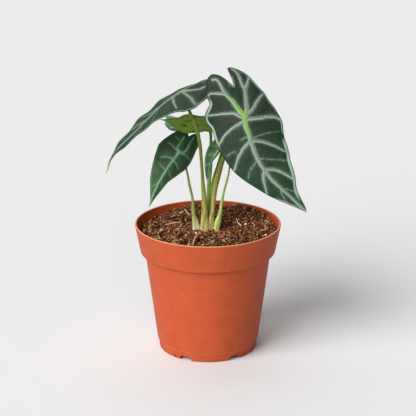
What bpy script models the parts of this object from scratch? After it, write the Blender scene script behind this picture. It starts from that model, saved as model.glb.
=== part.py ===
"""A young bambino African mask plant in its terracotta-coloured plastic nursery pot.

The origin is the middle of the pot's underside, +Z is up and the plant's front faces -Y. Sizes in
the tables are millimetres, and MM turns them into Blender's metres. The pot, the soil, every leaf
blade, every leaf stalk and every scrap of dry sheath is its own closed solid.
"""

import math

import bmesh
import bpy
import numpy as np
from mathutils import noise
from mathutils.geometry import delaunay_2d_cdt

MM = 0.001

# Driving sizes of the pot
RIM_RADIUS = 55.0
POT_HEIGHT = 98.3
FOOT_RADIUS = 36.9
WALL = 1.25
FLOOR_UNDERSIDE = 3.0
FLOOR_TOP = FLOOR_UNDERSIDE + WALL
PAD_RADIUS = 12.0
POT_STEPS = 48
ROUND_ANGLE = 35
SOFT_ANGLE = 50

# Driving sizes of the foot ring's notches and slits, and of the floor's drain holes. FOOT_TURN turns
# them all from the front, in degrees.
FOOT_TURN = 2.6
NOTCH_ANGLES = (-150, -90, -30, 30, 90, 150)
NOTCH_TOP_WIDTH = 7.0
NOTCH_FOOT_WIDTH = 10.0
NOTCH_HEIGHT = 3.2
SLIT_ANGLES = (44, 76, 164, 196, -44, -76)
SLIT_WIDTH = 1.2
SLIT_HEIGHT = 2.8
CUT_REACH = 4.0
CUT_BELOW = 1.0
DRAIN_RADIUS = 4.0
DRAIN_CIRCLE = 25.0
DRAIN_SIDES = 16

# Driving sizes of the soil
GAP = 0.3
SOIL_LEVEL = 92.0
BRIM_DROP = 4.5
SOIL_RINGS = 11
SOIL_RING_STEP = 4.6
SOIL_STEPS = 48
CROWN_FLAT = 14.0
CROWN_SLOPE = 12.0
SINK_WAY = (-1.0, 0.0)
SINK_DEPTH = 1.5
RISE_WAY = (0.45, 0.89)
RISE_HEIGHT = 4.8
BRIM_FLARE = 0.22
LUMP_HEIGHT = 0.9
LUMP_SIZE = 9.0
CRUMB_HEIGHT = 0.55
CRUMB_SIZE = 3.7
HOLE_FLOOR = 77.7
HOLE_TOP = SOIL_LEVEL + 9
HOLE_SIDES = 16

# Driving sizes of the blades: RIB_SINK is how deep a rib's line lies in the upper face, as a share of
# its height below. The waves fade out over FLAT_HALF beside the midrib, and the two halves' waves are
# WAVE_SHIFT radians apart.
BLADE_THICKNESS = 0.7
RIB_SINK = 0.3
RIB_STEP = 5.5
FLAT_HALF = 6.0
WAVE_SHIFT = 1.3
EDGE_MARGIN = 0.9
JUNCTION_CLEAR = 3.5
POINT_CLEAR = 0.5

# Driving sizes of the stalks
STALK_SIDES = 10
STALK_STEP = 6.0
FOOT_DEPTH = 78.0
STALK_CLEARANCE = 1.1

SEED = 17


def through(knots, values, at):
    """A smooth curve through the values at their knots: cubic pieces with central differences as slopes."""
    knots = np.asarray(knots, float)
    values = np.asarray(values, float)
    at = np.asarray(at, float)
    slopes = np.gradient(values, knots, axis=0)
    i = np.clip(np.searchsorted(knots, at, side="right") - 1, 0, len(knots) - 2)
    span = knots[i + 1] - knots[i]
    t = (at - knots[i]) / span
    if values.ndim == 2:
        t = t[..., None]
        span = span[..., None]
    start = values[i] * (2 * t**3 - 3 * t**2 + 1) + slopes[i] * span * (t**3 - 2 * t**2 + t)
    end = values[i + 1] * (3 * t**2 - 2 * t**3) + slopes[i + 1] * span * (t**3 - t**2)
    return start + end


def running_length(points):
    """The length along a chain of points, from its first point to each."""
    steps = np.linalg.norm(np.diff(np.asarray(points, float), axis=0), axis=1)
    return np.concatenate([[0.0], np.cumsum(steps)])


def even_curve(points, step):
    """Points about a step apart along the smooth curve through the given ones, with both ends kept."""
    points = np.asarray(points, float)
    knots = running_length(points)
    fine = through(knots, points, np.linspace(0, knots[-1], 24 * len(points)))
    lengths = running_length(fine)
    count = max(2, round(lengths[-1] / step) + 1)
    at = np.linspace(0, lengths[-1], count)
    return np.stack([np.interp(at, lengths, fine[:, k]) for k in range(fine.shape[1])], axis=1)


def unit(vectors):
    """The vectors at length one."""
    return vectors / np.linalg.norm(vectors, axis=-1, keepdims=True)


def both_sides(*lines):
    """Side ribs given for one half of a blade, with their mirror images for the other half."""
    return [*lines, *([(u, -v) for u, v in line] for line in lines)]


# Each blade is drawn flat: u runs from the junction with the stalk along the midrib to the tip, and
# v across it. plus and minus are the two halves' edges from the tip to the notch between the lobes,
# and notch is that point. spine is where the midrib's line runs in the plant, from between the lobes
# to the tip, and junction counts the spine point at the stalk. facing is the way the upper face
# looks. fold and curl, in degrees for the (minus, plus) halves, say how far each half slopes away
# from its upper face at the midrib, and how much further at half_width from it. wave is the height,
# the length and the start of the edge's waves. main_ribs run from the junction, and side_ribs branch
# off them. edge_step and grain are the spacings of the points on the edge and inside it.
BLADES = {
    "right": dict(
        spine=[(9.4, -13, 217.8), (18.8, -18, 202.8), (26.7, -25, 187.8), (30.6, -34, 171.7),
               (37.5, -41, 155.6), (49.1, -46, 142.5), (70.6, -49, 122.8)],
        junction=2,
        facing=[(0, -1, 0.25)],
        fold=[(6, 8)],
        curl=[(20, 25)],
        half_width=30,
        plus=[(86, 0), (77.5, 2.6), (70, 5.2), (57.5, 10), (45, 14), (38, 17.3), (32, 20.4), (25, 22.8),
              (18, 25), (11, 26.2), (4, 27.2), (-2.5, 27.8), (-8, 29), (-12.5, 29.2), (-16, 27.2),
              (-18, 23.5), (-20.5, 20), (-25.5, 19.3), (-30.5, 17.2), (-34.5, 14.2), (-37.5, 10.5),
              (-38.2, 7.5), (-36.5, 4.2), (-31.5, 0.8), (-26.5, -1)],
        minus=[(82.4, -2.1), (77.4, -4.1), (73, -6), (67, -9.5), (63, -12.9), (57, -16.1), (50.5, -19.2),
               (44, -22.4), (33, -24.4), (23, -24.6), (14, -25.9), (7, -25.9), (2, -23.6),
               (-3.5, -20.9), (-9, -19.9), (-13.5, -18.3), (-18, -17.1), (-23, -15.9), (-28, -13.5),
               (-32.3, -10.3), (-35.4, -7.2), (-36, -5.2), (-33, -4.5), (-29, -4), (-26, -3.3)],
        notch=(-22.8, -2.2),
        wave=(0.9, 24, 0.4),
        main_ribs=[[(0, 0), (12, 0), (24, 0.8), (35, 0), (56, 0), (79, 0)],
                   [(0, 0), (-4, 3), (-12, 5), (-21, 6), (-29, 6.5), (-34, 8.5)],
                   [(0, 0), (-6, -3), (-17, -9), (-27, -10), (-32, -8.5)]],
        side_ribs=[[(-4, -6), (-6, -13), (-8, -17)], [(3, -5), (4, -16), (5, -23)],
                   [(-6, 6), (-10, 15), (-12, 25)], [(4, 6), (11, 17), (14, 23)],
                   [(18, -3.5), (23, -11), (29, -17), (36, -20.5)], [(19, 4), (25, 10), (31, 17)],
                   [(36, -4), (43, -12), (48, -16)], [(46, -4), (52, -8), (59, -12)],
                   [(45, 4), (53, 8)], [(-23, 9), (-26, 14)]],
        edge_step=4.0,
        grain=6.5,
    ),
    "left": dict(
        spine=[(4.5, 15, 204.4), (-8.8, 8, 202.3), (-20.1, 0, 199.1), (-30.6, -3, 192.6),
               (-41.6, -6, 182.5), (-54.2, -9, 170), (-66.6, -12, 158.4), (-71.8, -13, 151),
               (-74.7, -14, 140.6)],
        junction=2,
        facing=[(-0.3, -0.1, 1), (-0.4, -0.1, 1), (-0.5, -0.1, 1), (-0.6, -0.1, 0.9),
                (-0.7, -0.1, 0.8), (-0.7, -0.1, 0.8), (-0.8, -0.1, 0.7), (-0.8, -0.1, 0.6),
                (-0.9, -0.1, 0.4)],
        fold=[(12, 8), (12, 8), (12, 8), (8, 6), (2, 4), (0, 0), (0, 0), (0, 0), (0, 0)],
        curl=[(25, 10), (25, 10), (25, 10), (15, 5), (10, 0), (0, 0), (0, 0), (0, 0), (0, 0)],
        half_width=28,
        plus=[(83, 0), (78, 1), (70, 4), (62, 7.6), (56.5, 11), (51.5, 14.8), (47, 16.8), (41.5, 18),
              (36.5, 20), (31.5, 21.8), (27, 22.3), (21.5, 20.5), (14, 19.2), (2, 19.6), (-8, 19),
              (-18, 16.5), (-26, 13), (-31, 8.5), (-30, 4), (-25, 1.5)],
        minus=[(80, -1.8), (74.5, -4), (69.5, -6.6), (63, -7.6), (56, -9), (49, -11.8), (42, -12.4),
               (36, -12.2), (32, -13), (28.5, -15.5), (25, -18.2), (21, -19.4), (15.9, -19),
               (10, -20.8), (5.9, -24), (1.6, -24.9), (-3, -22.4), (-9.5, -19), (-15, -16.8),
               (-21, -14), (-28, -9), (-31, -5), (-26, -1.5)],
        notch=(-20, 0),
        wave=(0.7, 22, 2.2),
        main_ribs=[[(0, 0), (20, 0), (40, 0), (60, 0), (76, -0.5)],
                   [(0, 0), (-6, -2.5), (-12, -5), (-20, -8.5), (-27, -8)],
                   [(0, 0), (-9, 4), (-18, 8), (-27, 9)]],
        side_ribs=[[(-2.5, -5), (-2.5, -12), (-1, -19)], [(8, -4), (10, -11), (13, -18)],
                   [(22, -4), (32, -13.5)], [(36, -4), (46, -10)], [(51, -3.5), (60, -7.5)],
                   [(-2, 5), (-3, 16)], [(8, 4), (15, 17)], [(22, 4), (33, 16)], [(36, 4), (47, 13)],
                   [(51, 3.5), (60, 7)]],
        edge_step=4.2,
        grain=6.5,
    ),
    "back": dict(
        spine=[(28.3, 9, 172.4), (10.5, 7, 174.4), (-2.1, 7, 174.1), (-14.7, 6, 174.3),
               (-26.5, 5, 176.5), (-35, 4, 177.2)],
        junction=1,
        facing=[(0, 0.7, 0.7)],
        fold=[(5, 5)],
        curl=[(10, 10)],
        half_width=16,
        plus=[(46, 0), (42, 1.6), (38.7, 3.9), (35, 8.6), (30.5, 11.2), (26, 11.8), (19, 11.5), (9, 11),
              (0, 11.5), (-8, 11), (-15, 8), (-17, 5), (-14, 2)],
        minus=[(42.5, -0.7), (39.5, -1.7), (36, -4.4), (33, -9.5), (31.3, -14.5), (29.2, -17),
               (26, -16.8), (22, -14.6), (18, -14), (14, -15.5), (6.7, -16), (-8, -14), (-15, -9),
               (-17, -5), (-14, -2)],
        notch=(-11, 0),
        wave=(0.8, 18, 1.0),
        main_ribs=[[(0, 0), (14, 0), (28, 0), (41, 0.3)], [(0, 0), (-7, 3.5), (-13, 6)],
                   [(0, 0), (-7, -4), (-13, -7)]],
        side_ribs=[[(1.5, 4), (3, 9)], [(12, 3.5), (17, 8.5)], [(22, 3.5), (28, 8.5)],
                   [(1.5, -4), (4, -12)], [(12, -3.5), (15, -10.5)], [(21, -3.5), (27, -13)]],
        edge_step=3.8,
        grain=6.0,
    ),
    "behind": dict(
        spine=[(-33.3, 34.5, 168.6), (-17.4, 35.5, 167.5), (0.8, 37.5, 166.2), (20.7, 41, 164.5),
               (41.6, 45, 151.5), (55.9, 48, 128.9)],
        junction=2,
        facing=[(0, -0.1, 1)],
        fold=[(3, 18), (10, 8), (14, 0), (14, 5), (12, 10), (10, 10)],
        curl=[(0, 20), (0, 10), (0, 0), (10, 10), (20, 20), (20, 20)],
        half_width=22,
        plus=[(72, 0), (60, 3.5), (50, 8), (38, 14), (25, 17), (12, 17.5), (0, 17.5), (-10, 17.5),
              (-20, 15.5), (-26, 13), (-29.7, 10.3), (-32, 7.4), (-33.6, 4), (-32.5, 1.4), (-27, 0.9)],
        minus=[(60, -3.5), (50, -8), (38, -14), (25, -17.5), (12, -18), (0, -17.8), (-10, -16.8),
               (-19.8, -14.8), (-25.5, -13.2), (-30, -10), (-32.8, -6), (-32, -2), (-27, -1.2)],
        notch=(-20, 0),
        wave=(0.8, 21, 0.0),
        main_ribs=[[(0, 0), (20, 0), (44, 0), (66, 0)], [(0, 0), (-12, 4.5), (-26, 8)],
                   [(0, 0), (-12, -4.5), (-26, -8)]],
        side_ribs=both_sides([(0, 5), (-2, 13)], [(9, 4), (18, 14)], [(23, 4), (34, 12)],
                             [(38, 4), (47, 7)]),
        edge_step=4.5,
        grain=7.0,
    ),
    "lower_left": dict(
        spine=[(-13.4, 18.5, 165.9), (-17.8, 10.5, 158.8), (-21.8, 3, 151), (-27.7, -3, 143.4),
               (-34.7, -8, 133.3), (-39.5, -11, 124.2), (-43.9, -13, 113.9)],
        junction=2,
        facing=[(-0.1, -0.93, 0.36)],
        fold=[(25, 0)],
        curl=[(40, 10)],
        half_width=16,
        plus=[(47, 0), (41, 1.2), (31.7, 5.4), (27, 8), (21.5, 10.4), (15.3, 12.6), (9, 14.8), (3.5, 16.2),
              (-2, 16.8), (-7.5, 15.6), (-11.5, 12.6), (-15, 9.9), (-18, 7.2), (-19.8, 4), (-19.5, 1)],
        minus=[(41.5, -1), (37, -2), (31, -3.5), (24, -5.1), (19, -6.8), (12.2, -9.6), (5.4, -12.3),
               (0.9, -12.8), (-3.5, -12.7), (-10.6, -13.1), (-18.2, -12.9), (-21.6, -11), (-23.1, -8),
               (-22.8, -5.6), (-21, -3.8)],
        notch=(-17.3, -1.8),
        wave=(0.5, 17, 0.6),
        main_ribs=[[(0, 0), (13, 0), (27, 0), (42, -0.2)], [(0, 0), (-6, 1.5), (-12, 3), (-16.5, 4.2)],
                   [(0, 0), (-3, -3), (-12, -6.5), (-17.5, -7.5)]],
        side_ribs=[[(-3, 5), (-6, 12)], [(6, 3.5), (10, 11)], [(18, 3.5), (23, 7)], [(1.5, -4.5), (2, -10)],
                   [(9, -3.5), (13, -7.5)]],
        edge_step=3.8,
        grain=6.0,
    ),
    "small": dict(
        spine=[(15.6, 4, 163.8), (11.6, 3, 158.6), (7.1, 2, 152.4), (2.7, 1, 145.7), (0.5, 0, 137.9),
               (0.2, -1, 129.3)],
        junction=1,
        facing=[(-0.2, -0.93, 0.3)],
        fold=[(-66, 4)],
        curl=[(-14, 24)],
        half_width=10,
        plus=[(33, 0), (29, 1.5), (24.6, 2.6), (19, 4.6), (15.5, 6.3), (12, 7.6), (7.6, 8.7), (2, 7.9),
              (-4, 6), (-8, 3)],
        minus=[(28, -1.5), (20, -4), (10, -7.5), (0, -8.5), (-6, -7), (-9, -3)],
        notch=(-6, 0),
        wave=(0.4, 11, 0.7),
        main_ribs=[[(0, 0), (10, 0), (20, 0), (29, 0)]],
        side_ribs=[],
        edge_step=3.5,
        grain=6.0,
    ),
}

# The height and half width of a rib at its start, and the share of the height that is left at its end
MAIN_RIB = (0.9, 1.5, 0.3)
SIDE_RIB = (0.5, 1.8, 0.4)

# Each stalk goes up from its foot in the soil, given by x, y and radius. The rows of its path are x,
# y, z and radius, and its last point is worked out from its blade.
STALKS = {
    "right": dict(
        foot=(2.0, 0.2, 2.3),
        path=[(3.8, 1, 110.9, 1.9), (5, 0, 123.3, 1.95), (7.2, -2, 133.8, 2), (10.6, -5, 147.9, 1.8),
              (16.6, -11, 165.7, 1.5), (22.6, -18, 180, 1.35)],
        end_radius=1.2,
    ),
    "left": dict(
        foot=(-3.4, -1.2, 2.6),
        path=[(-2.5, -0.8, 104, 2.5), (-2.7, -0.5, 115.9, 2.1), (-3.8, -2, 132.2, 1.4),
              (-4.8, -5.5, 148.8, 1.25), (-6.3, -9, 165.1, 1.4), (-8.9, -11, 177, 1.35),
              (-13.8, -9.2, 187.8, 1.15)],
        end_radius=0.95,
    ),
    "back": dict(
        foot=(0.4, 4.9, 2.0),
        path=[(0.9, 5.2, 106, 1.9), (2.0, 6, 119.5, 1.6), (4.6, 8, 130.7, 1.5), (8.7, 10, 143.4, 1.4),
              (11.3, 10.5, 155, 1.2), (11.6, 9, 165, 1.1)],
        end_radius=0.9,
    ),
    "behind": dict(
        foot=(0.8, 9.6, 1.9),
        path=[(0.6, 10.6, 110, 1.6), (0.8, 14, 125, 1.4), (2.0, 18.5, 135, 1.3),
              (2.2, 25.5, 149.5, 1.2), (2.1, 31, 158.6, 1.1)],
        end_radius=0.95,
    ),
    "lower_left": dict(
        foot=(-9.0, -0.5, 2.6),
        path=[(-9.4, -0.2, 98.5, 2.4), (-10.7, 0, 105.7, 1.6), (-11.3, 1, 115.6, 1.1),
              (-13.7, 3.4, 126.8, 0.98), (-16.1, 6.6, 138.4, 0.82), (-19, 8, 147, 0.7)],
        end_radius=0.7,
    ),
    "small": dict(
        foot=(7.0, -0.8, 1.9),
        path=[(7.5, -0.8, 97.7, 2.3), (9.2, -0.5, 106.2, 1.6), (10.3, 0, 113.7, 1.2),
              (11.9, 0, 122.5, 0.95), (13.7, 0.3, 129.3, 0.85), (15.4, 0.8, 136.5, 0.75),
              (16.2, 2.5, 144, 0.7), (15.4, 5, 152, 0.65)],
        end_radius=0.6,
    ),
}

# Each scrap of dry sheath: its foot's x and y, its turn in degrees, its height, its width at the
# foot and the radius that it is curled to. It narrows and leans towards its top.
SCRAPS = {
    "left": dict(foot=(-6.7, 3.4), turn=20, height=9.5, width=2.8, curl_radius=2.4),
    "right": dict(foot=(5.0, 3.6), turn=-15, height=8.0, width=2.6, curl_radius=2.2),
}
SCRAP_THICKNESS = 0.6
SCRAP_ROWS = 5
SCRAP_COLUMNS = 4
SCRAP_NARROWING = 0.75
SCRAP_LEAN = 0.9

COLOURS = {
    "pot": ((0.56, 0.13, 0.045, 1), 0.55),
    "soil": ((0.09, 0.04, 0.018, 1), 0.95),
    "blade_right": ((0.035, 0.07, 0.045, 1), 0.4),
    "blade_left": ((0.03, 0.08, 0.05, 1), 0.35),
    "blade_back": ((0.10, 0.17, 0.03, 1), 0.5),
    "blade_behind": ((0.12, 0.2, 0.13, 1), 0.45),
    "blade_lower_left": ((0.03, 0.08, 0.035, 1), 0.4),
    "blade_small": ((0.03, 0.09, 0.03, 1), 0.45),
    "petiole": ((0.22, 0.32, 0.07, 1), 0.45),
    "dry_sheath": ((0.18, 0.06, 0.025, 1), 0.8),
}


def clear_scene():
    """Removes every object, so that the model starts from nothing."""
    for old in list(bpy.data.objects):
        bpy.data.objects.remove(old, do_unlink=True)


def material(name):
    """A material with the colour and roughness kept under the name."""
    colour, roughness = COLOURS[name]
    made = bpy.data.materials.new(name)
    made.use_nodes = True
    shader = made.node_tree.nodes["Principled BSDF"]
    shader.inputs["Base Color"].default_value = colour
    shader.inputs["Roughness"].default_value = roughness
    shader.inputs["Metallic"].default_value = 0.0
    made.diffuse_color = colour
    return made


def add_object(name, mesh, finish=None):
    """Puts a mesh in the scene as an object of that name."""
    made = bpy.data.objects.new(name, mesh)
    bpy.context.scene.collection.objects.link(made)
    if finish:
        mesh.materials.append(material(finish))
    return made


def mesh_from(name, points, faces, smooth_angle=None):
    """A mesh from points in millimetres, with its faces turned outwards."""
    mesh = bpy.data.meshes.new(name)
    mesh.from_pydata([tuple(MM * c for c in point) for point in points], [], faces)
    body = bmesh.new()
    body.from_mesh(mesh)
    bmesh.ops.recalc_face_normals(body, faces=body.faces)
    body.to_mesh(mesh)
    body.free()
    if smooth_angle:
        mesh.shade_smooth()
        mesh.set_sharp_from_angle(angle=math.radians(smooth_angle))
    return mesh


def turned(name, profile, steps, shape=None):
    """A (radius, height) profile, from axis to axis, turned about Z; shape may move its points."""
    body = bmesh.new()
    chain = [body.verts.new((MM * r, 0, MM * z)) for r, z in profile]
    edges = [body.edges.new(pair) for pair in zip(chain, chain[1:])]
    bmesh.ops.spin(body, geom=chain + edges, axis=(0, 0, 1), cent=(0, 0, 0), angle=2 * math.pi, steps=steps)
    bmesh.ops.remove_doubles(body, verts=body.verts, dist=0.01 * MM)
    if shape:
        for vert in body.verts:
            vert.co = shape(vert.co)
    bmesh.ops.recalc_face_normals(body, faces=body.faces)
    mesh = bpy.data.meshes.new(name)
    body.to_mesh(mesh)
    body.free()
    mesh.shade_smooth()
    mesh.set_sharp_from_angle(angle=math.radians(ROUND_ANGLE))
    return mesh


def prisms(name, outlines):
    """One mesh of upright or sideways prisms, each given as two matching rings of points in millimetres."""
    points = []
    faces = []
    for first, second in outlines:
        base = len(points)
        count = len(first)
        points += [*first, *second]
        faces.append([base + i for i in range(count)])
        faces.append([base + count + i for i in reversed(range(count))])
        for i in range(count):
            j = (i + 1) % count
            faces.append([base + i, base + count + i, base + count + j, base + j])
    return mesh_from(name, points, faces)


def cut(target, cutter_mesh):
    """Cuts the mesh out of the target with a live Boolean, and keeps the cutter as a wire guide."""
    cutter = add_object(cutter_mesh.name, cutter_mesh)
    cutter.hide_render = True
    cutter.display_type = "WIRE"
    boolean = target.modifiers.new("cut", "BOOLEAN")
    boolean.operation = "DIFFERENCE"
    boolean.solver = "EXACT"
    boolean.object = cutter


def wall_inside():
    """The pot wall's inner face from the floor to the lip, as (radius, height)."""
    return [(FOOT_RADIUS - 0.4, FLOOR_TOP), (37.3, 7.2), (46.1, 76.6), (46.8, 77.4), (48.8, 77.9),
            (49.4, 78.9), (53.2, 95.8)]


def pot_profile():
    """The pot's section from the axis under the floor, up the outside, over the lip and down the inside."""
    pad_top = PAD_RADIUS - 0.6
    return [
        (0, 0),
        (PAD_RADIUS, 0),
        (PAD_RADIUS + 2.2, FLOOR_UNDERSIDE),
        (FOOT_RADIUS - WALL, FLOOR_UNDERSIDE),
        (FOOT_RADIUS - WALL - 0.4, 0),
        (FOOT_RADIUS, 0),
        (FOOT_RADIUS + 0.5, 0.8),
        (38.0, 6.7),
        (38.5, 7.2),
        (47.3, 75.3),
        (47.7, 76.0),
        (50.3, 76.5),
        (50.8, 77.0),
        (51.0, 77.9),
        (RIM_RADIUS - 0.2, 96.7),
        (RIM_RADIUS, 97.5),
        (RIM_RADIUS - 0.4, POT_HEIGHT - 0.15),
        (RIM_RADIUS - 1.0, POT_HEIGHT),
        (RIM_RADIUS - 1.6, POT_HEIGHT - 0.4),
        *reversed(wall_inside()),
        (PAD_RADIUS + 1.6, FLOOR_TOP),
        (pad_top, WALL),
        (0, WALL),
    ]


def turn_to(angle, along, across, height):
    """A point given outwards and sideways from the direction at an angle from the front, in degrees."""
    way = math.radians(angle)
    outward = (math.sin(way), -math.cos(way))
    sideways = (math.cos(way), math.sin(way))
    return (along * outward[0] + across * sideways[0], along * outward[1] + across * sideways[1], height)


def foot_cut(angle, top_width, foot_width, height):
    """A bar across the foot ring, from below the ground up: its section is wider at the foot."""
    slope = (foot_width - top_width) / 2 / height
    low = foot_width / 2 + slope * CUT_BELOW
    high = top_width / 2
    section = [(-low, -CUT_BELOW), (-high, height), (high, height), (low, -CUT_BELOW)]
    radii = (FOOT_RADIUS - CUT_REACH, FOOT_RADIUS + CUT_REACH)
    return tuple([turn_to(angle, radius, across, z) for across, z in section] for radius in radii)


def round_hole(x, y, radius, low, high, sides):
    """An upright round bar at x and y."""
    turns = [2 * math.pi * (k + 0.5) / sides for k in range(sides)]
    ring = [(x + radius * math.cos(turn), y + radius * math.sin(turn)) for turn in turns]
    return tuple([(*place, z) for place in ring] for z in (low, high))


def make_pot():
    """The pot: a turned wall with a rolled lip and a collar, notched foot ring and drained floor."""
    pot = add_object("pot", turned("pot", pot_profile(), POT_STEPS), "pot")
    notch = (NOTCH_TOP_WIDTH, NOTCH_FOOT_WIDTH, NOTCH_HEIGHT)
    notches = [foot_cut(FOOT_TURN + angle, *notch) for angle in NOTCH_ANGLES]
    slits = [foot_cut(FOOT_TURN + angle, SLIT_WIDTH, SLIT_WIDTH, SLIT_HEIGHT) for angle in SLIT_ANGLES]
    drains = []
    for angle in NOTCH_ANGLES:
        x, y, _ = turn_to(FOOT_TURN + angle, DRAIN_CIRCLE, 0, 0)
        drains.append(round_hole(x, y, DRAIN_RADIUS, -CUT_BELOW, FLOOR_TOP + CUT_BELOW, DRAIN_SIDES))
    cut(pot, prisms("pot_cutter", notches + slits + drains))


def soil_profile():
    """The soil's section: it lies GAP inside the pot's floor and wall, and its top is rings of crumbs."""
    side = [(r - GAP, z + GAP) for r, z in wall_inside()]
    brim_height = SOIL_LEVEL - BRIM_DROP
    share = (brim_height - side[-2][1]) / (side[-1][1] - side[-2][1])
    brim_radius = side[-2][0] + share * (side[-1][0] - side[-2][0])
    side[-1] = (brim_radius, brim_height)
    rings = [(brim_radius - 0.1 - SOIL_RING_STEP * k, SOIL_LEVEL) for k in range(SOIL_RINGS)]
    return [
        (0, WALL + GAP),
        (PAD_RADIUS - 1.0, WALL + GAP),
        (PAD_RADIUS + 1.2, FLOOR_TOP + GAP),
        *side,
        *rings,
        (0, SOIL_LEVEL),
    ]


def crumbled(place):
    """Moves a point of the soil's top: it sinks to the left, rises to the back right, and has lumps and
    crumbs. Where it rises, its outer ring spreads with the pot's flaring wall."""
    if place.z < (SOIL_LEVEL - 1) * MM:
        return place
    x = place.x / MM
    y = place.y / MM
    away = min(1.0, max(0.0, (math.hypot(x, y) - CROWN_FLAT) / CROWN_SLOPE))
    sink = SINK_DEPTH * max(0.0, SINK_WAY[0] * x + SINK_WAY[1] * y) / RIM_RADIUS
    rise = RISE_HEIGHT * max(0.0, RISE_WAY[0] * x + RISE_WAY[1] * y) / RIM_RADIUS
    lump = LUMP_HEIGHT * noise.noise((x / LUMP_SIZE, y / LUMP_SIZE, SEED))
    crumb = CRUMB_HEIGHT * noise.noise((x / CRUMB_SIZE, y / CRUMB_SIZE, SEED + 5))
    lift = away * (lump + crumb + rise - sink)
    spread = 1 + BRIM_FLARE * max(0.0, lift) / RIM_RADIUS * away
    return (place.x * spread, place.y * spread, place.z + MM * lift)


def make_soil():
    """The soil, with one plain upright hole for each stalk's foot."""
    soil = add_object("soil", turned("soil", soil_profile(), SOIL_STEPS, crumbled), "soil")
    for name, stalk in STALKS.items():
        x, y, radius = stalk["foot"]
        hole = round_hole(x, y, radius + 2 * GAP, HOLE_FLOOR, HOLE_TOP, HOLE_SIDES)
        cut(soil, prisms(f"soil_cutter_{name}", [hole]))


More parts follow.
